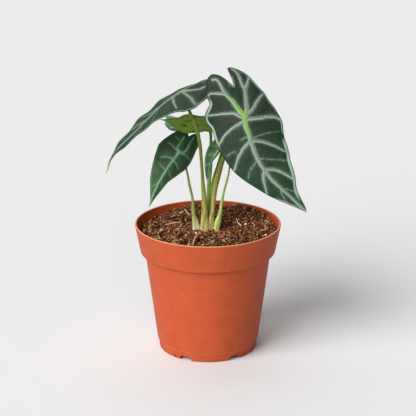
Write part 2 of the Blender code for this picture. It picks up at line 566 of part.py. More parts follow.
class Blade:
    """One leaf blade: its flat outline and ribs, and the surface that bends them into place."""

    def __init__(self, values):
        self.values = values
        self.spine = np.array(values["spine"], float)
        self.along = running_length(self.spine)
        self.along -= self.along[values["junction"]]
        stations = len(self.spine)
        self.facing = np.broadcast_to(np.array(values["facing"], float), (stations, 3))
        self.fold = np.broadcast_to(np.array(values["fold"], float), (stations, 2))
        self.curl = np.broadcast_to(np.array(values["curl"], float), (stations, 2))
        step = values["edge_step"]
        tip = values["plus"][0]
        first = even_curve([*values["plus"], values["notch"]], step)
        second = even_curve([values["notch"], *reversed(values["minus"]), tip], step)
        self.edge = np.concatenate([first[:-1], second[:-1]])
        turns = np.arctan2(self.edge[:, 1], self.edge[:, 0])
        order = np.argsort(turns)
        self.turns = turns[order]
        self.reach = np.hypot(self.edge[:, 0], self.edge[:, 1])[order]

    def edge_share(self, u, v):
        """How far out a point lies, from 0 at the junction to 1 on the edge."""
        reach = np.interp(np.arctan2(v, u), self.turns, self.reach, period=2 * math.pi)
        return np.clip(np.hypot(u, v) / reach, 0, 1)

    def relief(self, u, v):
        """How high the ribs stand under the blade: ridges that fall off evenly to their half width."""
        height = np.zeros_like(u)
        ribs = [(line, MAIN_RIB) for line in self.values["main_ribs"]]
        ribs += [(line, SIDE_RIB) for line in self.values["side_ribs"]]
        for line, (top, half_width, left) in ribs:
            points = even_curve(line, 1.0)
            shares = np.linspace(1, left, len(points))
            far = np.hypot(u[:, None] - points[:, 0], v[:, None] - points[:, 1])
            nearest = far.argmin(axis=1)
            ridge = top * shares[nearest] * np.clip(1 - far.min(axis=1) / half_width, 0, 1)
            height = np.maximum(height, ridge)
        return height

    def frame(self, u):
        """The midrib line's place, its direction, the upper face's direction and the way across, at u."""
        inside = np.clip(u, self.along[0], self.along[-1])
        place = through(self.along, self.spine, inside)
        ahead = through(self.along, self.spine, np.clip(inside + 0.5, self.along[0], self.along[-1]))
        behind = through(self.along, self.spine, np.clip(inside - 0.5, self.along[0], self.along[-1]))
        forward = unit(ahead - behind)
        upper = through(self.along, self.facing, inside)
        upper = unit(upper - (upper * forward).sum(axis=-1, keepdims=True) * forward)
        return place + forward * (u - inside)[..., None], forward, upper, np.cross(forward, upper)

    def place(self, u, v):
        """Where a point of the flat blade lies: folded and curled about the midrib, waved at the edge."""
        at, _, upper, across = self.frame(u)
        inside = np.clip(u, self.along[0], self.along[-1])
        side = (v > 0).astype(int)[..., None]
        fold = np.take_along_axis(through(self.along, self.fold, inside), side, -1)[..., 0]
        curl = np.take_along_axis(through(self.along, self.curl, inside), side, -1)[..., 0]
        far = np.abs(v)
        slope = np.radians(fold + 0.5 * curl * far / self.values["half_width"])
        height, length, start = self.values["wave"]
        phase = 2 * math.pi * u / length + start + WAVE_SHIFT * np.sign(v)
        wave = height * self.edge_share(u, v) ** 2 * np.sin(phase) * np.clip(far / FLAT_HALF, 0, 1)
        rise = wave - far * np.sin(slope)
        return at + across * (np.sign(v) * far * np.cos(slope))[..., None] + upper * rise[..., None]

    def normal(self, u, v):
        """The upper face's direction, from the surface a short way to each side."""
        step = 0.6
        along = self.place(u + step, v) - self.place(u - step, v)
        across = self.place(u, v + step) - self.place(u, v - step)
        return unit(np.cross(across, along))

    def edge_gap(self, point):
        """The distance from a point to the blade's edge."""
        return np.hypot(*(self.edge - point).T).min()

    def holds(self, points):
        """Whether each point lies inside the edge: an odd number of edge pieces pass its row beyond it."""
        start = self.edge
        end = np.roll(start, -1, axis=0)
        u = points[:, :1]
        v = points[:, 1:]
        passed = (start[:, 1] > v) != (end[:, 1] > v)
        rise = np.where(end[:, 1] == start[:, 1], 1, end[:, 1] - start[:, 1])
        crossing = start[:, 0] + (v - start[:, 1]) / rise * (end[:, 0] - start[:, 0])
        return (passed & (u < crossing)).sum(axis=1) % 2 == 1

    def rib_lines(self):
        """The lines that the triangles follow: each rib's middle, and the main ribs' two sides."""
        lines = []
        for line in self.values["main_ribs"]:
            middle = even_curve(line, RIB_STEP)
            ahead = unit(np.gradient(middle, axis=0))
            sideways = np.stack([-ahead[:, 1], ahead[:, 0]], axis=1)
            kept = np.hypot(middle[:, 0], middle[:, 1]) > JUNCTION_CLEAR
            lines.append(middle)
            lines += [(middle + hand * MAIN_RIB[1] * sideways)[kept] for hand in (-1, 1)]
        lines += [even_curve(line, RIB_STEP) for line in self.values["side_ribs"]]
        return lines

    def filling(self, taken):
        """Points of an even triangular grid inside the edge, clear of those already taken."""
        grain = self.values["grain"]
        low = self.edge.min(axis=0)
        high = self.edge.max(axis=0)
        rows = np.arange(low[1], high[1], grain * math.sin(math.radians(60)))
        filled = []
        for row, v in enumerate(rows):
            for u in np.arange(low[0] + (row % 2) * grain / 2, high[0], grain):
                inside = self.edge_share(np.array([u]), np.array([v]))[0] < 0.97
                if inside and self.edge_gap((u, v)) > 0.45 * grain:
                    if min(math.dist((u, v), other) for other in taken) > 0.5 * grain:
                        filled.append((u, v))
        return filled

    def flat_triangles(self):
        """The flat blade's points and triangles, with the ribs' lines among their edges."""
        points = [tuple(point) for point in self.edge]
        count = len(points)
        edges = [(i, (i + 1) % count) for i in range(count)]
        for line in self.rib_lines():
            chain = []
            for point in line:
                if self.edge_gap(point) <= EDGE_MARGIN:
                    continue
                near = [i for i in range(count, len(points)) if math.dist(point, points[i]) < POINT_CLEAR]
                chain.append(near[0] if near else len(points))
                if not near:
                    points.append(tuple(point))
            edges += [pair for pair in zip(chain, chain[1:]) if pair[0] != pair[1]]
        points += self.filling(points)
        flat, _, triangles, _, _, _ = delaunay_2d_cdt(points, edges, [], 0, 1e-4, True)
        flat = np.array([tuple(point) for point in flat])
        triangles = np.array([tuple(corners) for corners in triangles])
        kept = triangles[self.holds(flat[triangles].mean(axis=1))]
        return flat, kept.tolist()

    def solid(self, name):
        """The blade as a closed solid: both faces have the same triangles, and ribs stand out below."""
        flat, triangles = self.flat_triangles()
        u = flat[:, 0]
        v = flat[:, 1]
        middle = self.place(u, v)
        upper = self.normal(u, v)
        rib = self.relief(u, v)[:, None]
        top = middle + upper * (BLADE_THICKNESS / 2 - RIB_SINK * rib)
        below = middle - upper * (BLADE_THICKNESS / 2 + rib)
        count = len(flat)
        faces = [(c, b, a) for a, b, c in triangles]
        faces += [(count + a, count + b, count + c) for a, b, c in triangles]
        sides = [side for a, b, c in triangles for side in ((a, b), (b, c), (c, a))]
        taken = set(sides)
        for a, b in sides:
            if (b, a) not in taken:
                faces.append((a, b, count + b))
                faces.append((a, count + b, count + a))
        return mesh_from(name, np.concatenate([top, below]).tolist(), faces, SOFT_ANGLE)

    def stalk_end(self):
        """The point just under the junction where the stalk stops."""
        zero = np.zeros(1)
        middle = self.place(zero, zero)[0]
        upper = self.normal(zero, zero)[0]
        return middle - upper * (BLADE_THICKNESS / 2 + MAIN_RIB[0] + STALK_CLEARANCE)


def make_blades():
    """Every blade as its own solid, in a dictionary by name."""
    blades = {}
    for name, values in BLADES.items():
        blades[name] = Blade(values)
        add_object(f"blade_{name}", blades[name].solid(f"blade_{name}"), f"blade_{name}")
    return blades


def make_stalk(name, stalk, end):
    """A stalk: rings round a smooth curve from its foot in the soil to its blade, closed at both ends."""
    x, y, radius = stalk["foot"]
    rows = [(x, y, FOOT_DEPTH, 0.8 * radius), (x, y, FOOT_DEPTH + 8, radius)]
    rows += [(x, y, SOIL_LEVEL + 1.5, radius), *stalk["path"], (*end, stalk["end_radius"])]
    curve = even_curve(rows, STALK_STEP)
    centres = curve[:, :3]
    forward = unit(np.gradient(centres, axis=0))
    forward[:2] = (0, 0, 1)
    side = np.array([1.0, 0.0, 0.0])
    points = []
    turns = 2 * np.pi * np.arange(STALK_SIDES) / STALK_SIDES
    for centre, way, width in zip(centres, forward, curve[:, 3]):
        side = unit(side - way * (side @ way))
        other = np.cross(way, side)
        ring = centre + width * (np.cos(turns)[:, None] * side + np.sin(turns)[:, None] * other)
        points += ring.tolist()
    faces = [list(range(STALK_SIDES))]
    faces.append([len(points) - STALK_SIDES + i for i in reversed(range(STALK_SIDES))])
    for ring in range(len(centres) - 1):
        low = ring * STALK_SIDES
        for i in range(STALK_SIDES):
            j = (i + 1) % STALK_SIDES
            faces.append([low + i, low + STALK_SIDES + i, low + STALK_SIDES + j, low + j])
    add_object(f"petiole_{name}", mesh_from(f"petiole_{name}", points, faces, SOFT_ANGLE), "petiole")


def make_scrap(name, scrap):
    """A scrap of dry sheath: a pointed strip curled about an upright line, standing on the soil."""
    foot_x, foot_y = scrap["foot"]
    turn = math.radians(scrap["turn"])
    layers = []
    for thickness in (0, SCRAP_THICKNESS):
        layer = []
        for row in range(SCRAP_ROWS):
            up = row / (SCRAP_ROWS - 1)
            width = scrap["width"] * (1 - SCRAP_NARROWING * up)
            radius = scrap["curl_radius"] + thickness
            for column in range(SCRAP_COLUMNS):
                angle = turn + width * (column / (SCRAP_COLUMNS - 1) - 0.5) / scrap["curl_radius"]
                lean = SCRAP_LEAN * up * up
                layer.append((
                    foot_x + radius * math.sin(angle),
                    foot_y + radius * math.cos(angle) - scrap["curl_radius"] + lean,
                    SOIL_LEVEL + GAP + scrap["height"] * up,
                ))
        layers.append(layer)
    count = len(layers[0])
    faces = []
    for row in range(SCRAP_ROWS - 1):
        for column in range(SCRAP_COLUMNS - 1):
            a = row * SCRAP_COLUMNS + column
            b, c, d = a + 1, a + SCRAP_COLUMNS + 1, a + SCRAP_COLUMNS
            faces.append((a, b, c))
            faces.append((a, c, d))
            faces.append((count + c, count + b, count + a))
            faces.append((count + d, count + c, count + a))
    last = SCRAP_COLUMNS - 1
    top = (SCRAP_ROWS - 1) * SCRAP_COLUMNS
    rim = list(range(last + 1))
    rim += [row * SCRAP_COLUMNS + last for row in range(1, SCRAP_ROWS)]
    rim += [top + column for column in reversed(range(last))]
    rim += [row * SCRAP_COLUMNS for row in reversed(range(1, SCRAP_ROWS - 1))]
    for a, b in zip(rim, rim[1:] + rim[:1]):
        faces.append((a, count + b, b))
        faces.append((a, count + a, count + b))
    mesh = mesh_from(f"dry_sheath_{name}", layers[0] + layers[1], faces, SOFT_ANGLE)
    add_object(f"dry_sheath_{name}", mesh, "dry_sheath")


def main():
    """Builds the whole plant in its pot."""
    clear_scene()
    make_pot()
    make_soil()
    blades = make_blades()
    for name, stalk in STALKS.items():
        make_stalk(name, stalk, tuple(blades[name].stalk_end()))
    for name, scrap in SCRAPS.items():
        make_scrap(name, scrap)


main()
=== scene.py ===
"""Looks of a young bambino African mask plant in its terracotta-coloured plastic nursery pot.

Sizes are millimetres in the plant's own frame, and MM turns them into metres: the origin is the middle
of the pot's underside, +Z is up and the front faces -Y. The tables of the blades and stalks repeat the
solids' named values, so every fine surface lies where its solid is.
"""

import math
from itertools import combinations

import bmesh
import bpy
import numpy as np
from mathutils import Matrix, Vector


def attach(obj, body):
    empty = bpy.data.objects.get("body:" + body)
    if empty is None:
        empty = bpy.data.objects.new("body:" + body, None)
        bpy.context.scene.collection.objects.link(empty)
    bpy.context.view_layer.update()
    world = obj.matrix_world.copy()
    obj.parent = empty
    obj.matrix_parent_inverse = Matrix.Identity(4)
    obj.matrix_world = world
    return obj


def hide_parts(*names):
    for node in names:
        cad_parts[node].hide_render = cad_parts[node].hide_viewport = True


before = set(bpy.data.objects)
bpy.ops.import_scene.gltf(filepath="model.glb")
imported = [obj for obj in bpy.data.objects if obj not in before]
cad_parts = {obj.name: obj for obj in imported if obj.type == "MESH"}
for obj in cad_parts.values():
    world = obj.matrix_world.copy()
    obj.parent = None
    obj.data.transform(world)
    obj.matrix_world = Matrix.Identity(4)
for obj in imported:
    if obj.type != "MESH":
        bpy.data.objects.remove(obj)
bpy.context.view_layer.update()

MM = 0.001
SEED = 17
DRAFT_POINTS = 24  # how many points a curve's first fine draft has for each given one

# The pot. CORNER_SHARE is how much of a side its rounded corner may take, POT_RUN the longest straight
# run between two of its rings and POT_CREASE the least angle between faces that shows as an edge. The
# notches, slits and drain holes are turned by FOOT_TURN degrees from the front. The bars that cut them
# reach CUT_REACH past the foot ring to each side and CUT_BELOW below the ground. LIP_HIGHLIGHT_DEPTH is how
# far down from the top the painted highlight on the lip reaches, and LEDGE_HEIGHT is where a paler line
# runs round the ledge.
RIM_RADIUS = 55.0
POT_HEIGHT = 98.3
FOOT_RADIUS = 36.9
WALL = 1.25
FLOOR_UNDERSIDE = 3.0
FLOOR_TOP = FLOOR_UNDERSIDE + WALL
PAD_RADIUS = 12.0
POT_COLUMNS = 288
CORNER_SHARE = 0.45
POT_RUN = 6.0
POT_CREASE = 32
FOOT_TURN = 2.6
NOTCH_ANGLES = (-150, -90, -30, 30, 90, 150)
NOTCH_TOP_WIDTH = 7.0
NOTCH_FOOT_WIDTH = 10.0
NOTCH_HEIGHT = 3.2
SLIT_ANGLES = (44, 76, 164, 196, -44, -76)
SLIT_WIDTH = 1.2
SLIT_HEIGHT = 2.8
CUT_REACH = 4.0
CUT_BELOW = 1.0
DRAIN_RADIUS = 4.0
DRAIN_CIRCLE = 25.0
DRAIN_SIDES = 40
LIP_HIGHLIGHT_DEPTH = 0.6
LEDGE_HEIGHT = 6.9

# The soil lies GAP inside the pot and stands SOIL_LEVEL high, and its side ends BRIM_DROP lower. From
# CROWN_FLAT around the crown, over a further CROWN_SLOPE, two slopes set in: it sinks by SINK_DEPTH
# along SINK_WAY and rises by RISE_HEIGHT along RISE_WAY, both at the rim. It spreads there by BRIM_FLARE
# for each millimetre that it rises. SOIL_LUMPS and SOIL_GRIT are the heights and sizes of its bumps,
# and CALM is the share of the lumps that is left at the crown. GRIT_SINK is how far the bed lies below
# its level, and LUMP_SINK how far the crumbs are sunk. BED_INSET is the step from its side in to its
# top's first ring, and BED_MIDDLE the share of the top's area inside the last one. BED_TONES are the
# tones of its side and its top, and how much paler a bump is for each millimetre of its height.
GAP = 0.3
SOIL_LEVEL = 92.0
BRIM_DROP = 4.5
CROWN_FLAT = 14.0
CROWN_SLOPE = 12.0
SINK_WAY = (-1.0, 0.0)
SINK_DEPTH = 1.5
RISE_WAY = (0.45, 0.89)
RISE_HEIGHT = 4.8
BRIM_FLARE = 0.22
SOIL_LUMPS = ((1.0, 13.0), (0.8, 6.0))
SOIL_GRIT = ((0.45, 2.6), (0.35, 1.3), (0.2, 0.7))
GRIT_SEED = 3
GRIT_SINK = 0.5
CALM = 0.25
LUMP_SINK = 0.3
BED_COLUMNS = 256
BED_RINGS = 110
BED_INSET = 0.1
BED_MIDDLE = 0.0004
BED_TONES = (0.15, 0.22, 0.35)
CRUMB_COUNT = 8200
DUST_COUNT = 5000
FIBRE_COUNT = 1500
CHIP_COUNT = 380
LUMP_CREASE = 40

# Single strands and grains that the top of the soil shows, by x and y, and by the height above the soil
# where a third number follows. STRAND_RISE lifts the strands clear of the crumbs. A strand's radius is
# the root of a sine over STRAND_SPAN of its half turn, and STRAND_TIP is how far its end points stand out.
CURLED_STRANDS = [
    [(-31.8, 9.4, 0.9), (-28, 10.4, 1.3), (-24, 10.6, 1.2), (-20.4, 11.8, 1.0)],
    [(-25.5, -4.5, 1.2), (-23, -5.5, 1.9), (-21.3, -10.5, 2.0), (-21.6, -16, 1.7), (-24, -22, 1.2)],
    [(-4.6, -16, 1.7), (-6.4, -20, 2.1), (-8.6, -26, 2.1), (-10, -32, 1.8), (-10.8, -38, 1.4)],
    [(21.5, 12.8, 1.4), (23, 6, 1.2), (25.1, -1.3, 0.9)],
    [(-18.5, 36.6, 1.6), (-16, 30, 1.8), (-13.7, 22.2, 1.2)],
]
STRAND_RADII = (0.6, 0.95, 0.9, 0.42, 0.38)
STRAND_TONES = (0.8, 0.3, 0.75, 1.0, 1.0)
STRAND_RISE = 1.5
STRAND_STEPS = 16
STRAND_SIDES = 8
STRAND_SPAN = (0.12, 0.88)
STRAND_TIP = 0.1
FIBRE_STEPS = 7
PLACED_GRAINS = [(27.2, 8.5), (28.5, 4.5), (-16.6, -13.5), (42.9, -16.0), (-9.0, -10.0), (-5.6, -11.4)]

# The blades. CELL is the spacing of the fine grid's points, and LEAN says how far its rows lean towards
# the tip. BULGE is how high the surface stands between the veins, BULGE_BELOW the share of it that the
# underside follows, and QUILT how soon it stands so high. PUCKER is the height of its finest swellings,
# and GROOVE the depth of the line along each vein. THIN_EDGE, BULGE_EDGE and PUCKER_EDGE are the widths
# inside the edge over which the thickness, the bulges and the puckers set in. The waves fade over
# FLAT_HALF beside the midrib, and WAVE_SHIFT sets one half's waves off from the other's. UV_SPAN
# millimetres are one whole step in UV.
CELL = 0.44
LEAN = 0.35
HALF_THICK = 0.3
EDGE_HALF_THICK = 0.17
THIN_EDGE = 2.5
BULGE = 0.5
QUILT = 2.6
BULGE_EDGE = 6.0
BULGE_BELOW = 0.85
PUCKER = 0.12
PUCKER_SIZE = 3.2
PUCKER_EDGE = 3.0
PUCKER_SEED = SEED + 9
GROOVE = 0.22
GROOVE_WIDTH = 0.45
FLAT_HALF = 6.0
WAVE_SHIFT = 1.3
RUFFLE = 0.3
RUFFLE_SIZE = 7.0
UV_SPAN = 100.0
# A blade's edge is a rounded strip. EDGE_ROUND is how far it stands out, as a share of its half
# thickness, and the way out there is taken from the place at NEARER of the distance. The steps are the
# short ways by which directions are measured, ON_JUNCTION is the least u that counts as off the
# junction, and BATCH is how many points' distances are worked out at a time.
EDGE_ROUND = 0.8
NEARER = 0.96
AXIS_STEP = 0.5
NORMAL_STEP = 0.6
ON_JUNCTION = 1e-9
BATCH = 4000

# The veins: each kind's half width at its start and its end, and its rib's height on the underside.
# The hearts are how far from the junction a vein is green, and HEART_START how green it is there.
# HIGHLIGHT_OFF is how far a vein's painted highlight line, along one side of its groove, lies off its
# middle, as a share of the half width. NO_VEIN is the distance given where no vein counts. A vein narrows
# with the share of its length to the power of VEIN_TAPER. Its rib loses RIB_SINK of its height by its end,
# and
# RIB_SPREAD is the width of its bell curve: a share of the vein's half width, and the millimetres that are
# added to it.
MAIN_VEIN = (2.15, 0.9)
SIDE_VEIN = (1.65, 0.75)
THIN_VEIN = (0.4, 0.2)
MAIN_RIB = 0.9
SIDE_RIB = 0.5
THIN_RIB = 0.15
SIDE_HEART = 3
THIN_HEART = 1
HEART_START = 1.15
HIGHLIGHT_OFF = 0.35
NO_VEIN = 9.0
VEIN_TAPER = 0.7
RIB_SINK = 0.65
RIB_SPREAD = (0.75, 0.25)

# The upper face's colours. RIM_DARK is the width of the dark line on a blade's edge, RIM_FADE the length
# over which the pale border beside it sets in, and RIM_SOFT the widths over which its outer and its
# inner side do. The tip's last DRY_END has changed wholly. The face is greener by TIP_FRESH towards the
# tip and by MARGIN_FRESH at the margins, which both set in over spans of u, up to MOST_FRESH.
# The pale border inside the edge is partly the marginal vein's own colour and partly a painted highlight.
RIM_DARK = 0.35
RIM_FADE = 8.0
RIM_SOFT = (0.3, 0.7)
DRY_END = 0.5
TIP_FRESH = 0.5
TIP_SPAN = (0, 60)
MARGIN_FRESH = 0.35
MARGIN_SPAN = (-10, 30)
MOST_FRESH = 0.85

# The stalks. STALK_FOOT has a stalk's first points by their height and their share of the foot's radius.
# STALK_ENDS has its last ones under its blade: the place along the midrib, the depth below the blade's
# middle surface and the share of the end's radius. A sheath goes SHEATH_BELOW into the soil, opens over
# the lowest SHEATH_START, stands out with the power SHEATH_LOBE of the turn's cosine and closes upwards
# with the power SHEATH_FALL. CHANNEL is the channel's depth and SKIN the height of the skin's bumps, both
# as shares of the radius. The channel sets in over CHANNEL_SPAN of the sheath's height, CHANNEL_BELL is
# its width squared in radians, and SKIN_GRAIN sets the bumps' size round and along the stalk. In UV a
# stalk is STALK_ROUND millimetres for each radian, whatever its radius.
STALK_SIDES = 36
STALK_STEP = 0.8
FOOT_DEPTH = 78.0
STALK_FOOT = ((FOOT_DEPTH, 0.8), (FOOT_DEPTH + 8, 1.0), (SOIL_LEVEL + 1.5, 1.0))
STALK_ENDS = ((0.0, 2.35, 1.0), (5.0, 0.75, 0.75), (11.0, 0.55, 0.4))
SHEATH_BELOW = 4.0
SHEATH_START = 12.0
SHEATH_LOBE = 1.5
SHEATH_FALL = 1.4
CHANNEL = 0.16
CHANNEL_SPAN = (0.2, 0.7)
CHANNEL_BELL = 0.18
SKIN = 0.035
SKIN_GRAIN = (2.2, 0.12)
STALK_ROUND = 1.4

# The scraps of dry sheath. SCRAP_TEAR is how deep their torn tops are cut, as a share of the height, and
# SCRAP_TEETH how often. SCRAP_CRUMPLE has the heights and sizes of their bumps, and SCRAP_GRAIN is the
# scrap's height and width as the bumps count them. SCRAP_UV is its width and height in UV.
SCRAP_ROWS = 40
SCRAP_COLUMNS = 18
SCRAP_THICK = 0.22
SCRAP_OFF = 0.2
SCRAP_NARROWING = 0.75
SCRAP_LEAN = 0.9
SCRAP_FOOT = -0.12
SCRAP_TEAR = 0.25
SCRAP_TEETH = 6
SCRAP_CRUMPLE = ((0.3, 1.6), (0.12, 0.7))
SCRAP_GRAIN = (8, 3)
SCRAP_UV = (0.03, 0.1)

# The camera, fitted to the pot's rim, collar and foot: its picture is PICTURE pixels wide
PICTURE = 416
FOCAL_PIXELS = 1547.0
SENSOR = 36.0
PITCH = 18.33
AIM_HEIGHT = 97.0
CAMERA_DISTANCE = 1164.0
CAMERA_LIFT = 12.0
CAMERA_ASIDE = 0.08
FAR_CLIP = 60

# The light: broad soft lamps by their turn from the front and their height in degrees, their strength
# and their width as seen from the plant, and an even sky. The floor is far wider than the view.
SUNS = {"key": (-45, 35, 3.85, 46), "fill": (-10, 24, 1.0, 60), "back": (200, 50, 0.9, 70)}
SKY_STRENGTH = 0.11
FLOOR_HALF = 8.0
FLOOR_DROP = 0.2
FLOOR_SHADE = 0.73


def through(knots, values, at):
    """A smooth curve through the values at their knots: cubic pieces with central differences as slopes."""
    knots = np.asarray(knots, float)
    values = np.asarray(values, float)
    at = np.asarray(at, float)
    slopes = np.gradient(values, knots, axis=0)
    i = np.clip(np.searchsorted(knots, at, side="right") - 1, 0, len(knots) - 2)
    span = knots[i + 1] - knots[i]
    t = (at - knots[i]) / span
    if values.ndim == 2:
        t = t[..., None]
        span = span[..., None]
    start = values[i] * (2 * t**3 - 3 * t**2 + 1) + slopes[i] * span * (t**3 - 2 * t**2 + t)
    end = values[i + 1] * (3 * t**2 - 2 * t**3) + slopes[i + 1] * span * (t**3 - t**2)
    return start + end


def running_length(points):
    """The length along a chain of points, from its first point to each."""
    steps = np.linalg.norm(np.diff(np.asarray(points, float), axis=0), axis=1)
    return np.concatenate([[0.0], np.cumsum(steps)])


def even_curve(points, step):
    """Points about a step apart along the smooth curve through the given ones, with both ends kept: the
    curve is first drawn finely, and its length is then shared out evenly."""
    points = np.asarray(points, float)
    knots = running_length(points)
    fine = through(knots, points, np.linspace(0, knots[-1], DRAFT_POINTS * len(points)))
    lengths = running_length(fine)
    count = max(2, round(lengths[-1] / step) + 1)
    at = np.linspace(0, lengths[-1], count)
    return np.stack([np.interp(at, lengths, fine[:, k]) for k in range(fine.shape[1])], axis=1)


def unit(vectors):
    """The vectors at length one."""
    return vectors / np.linalg.norm(vectors, axis=-1, keepdims=True)


def both_sides(*lines):
    """Veins given for one half of a blade, with their mirror images for the other half."""
    return [*lines, *([(u, -v) for u, v in line] for line in lines)]


# What the blades share unless they say otherwise
USUAL_BLADE = dict(sheen=0.3, freshness=0.15, dry_length=3.0, pale_rim_and_highlight=[])
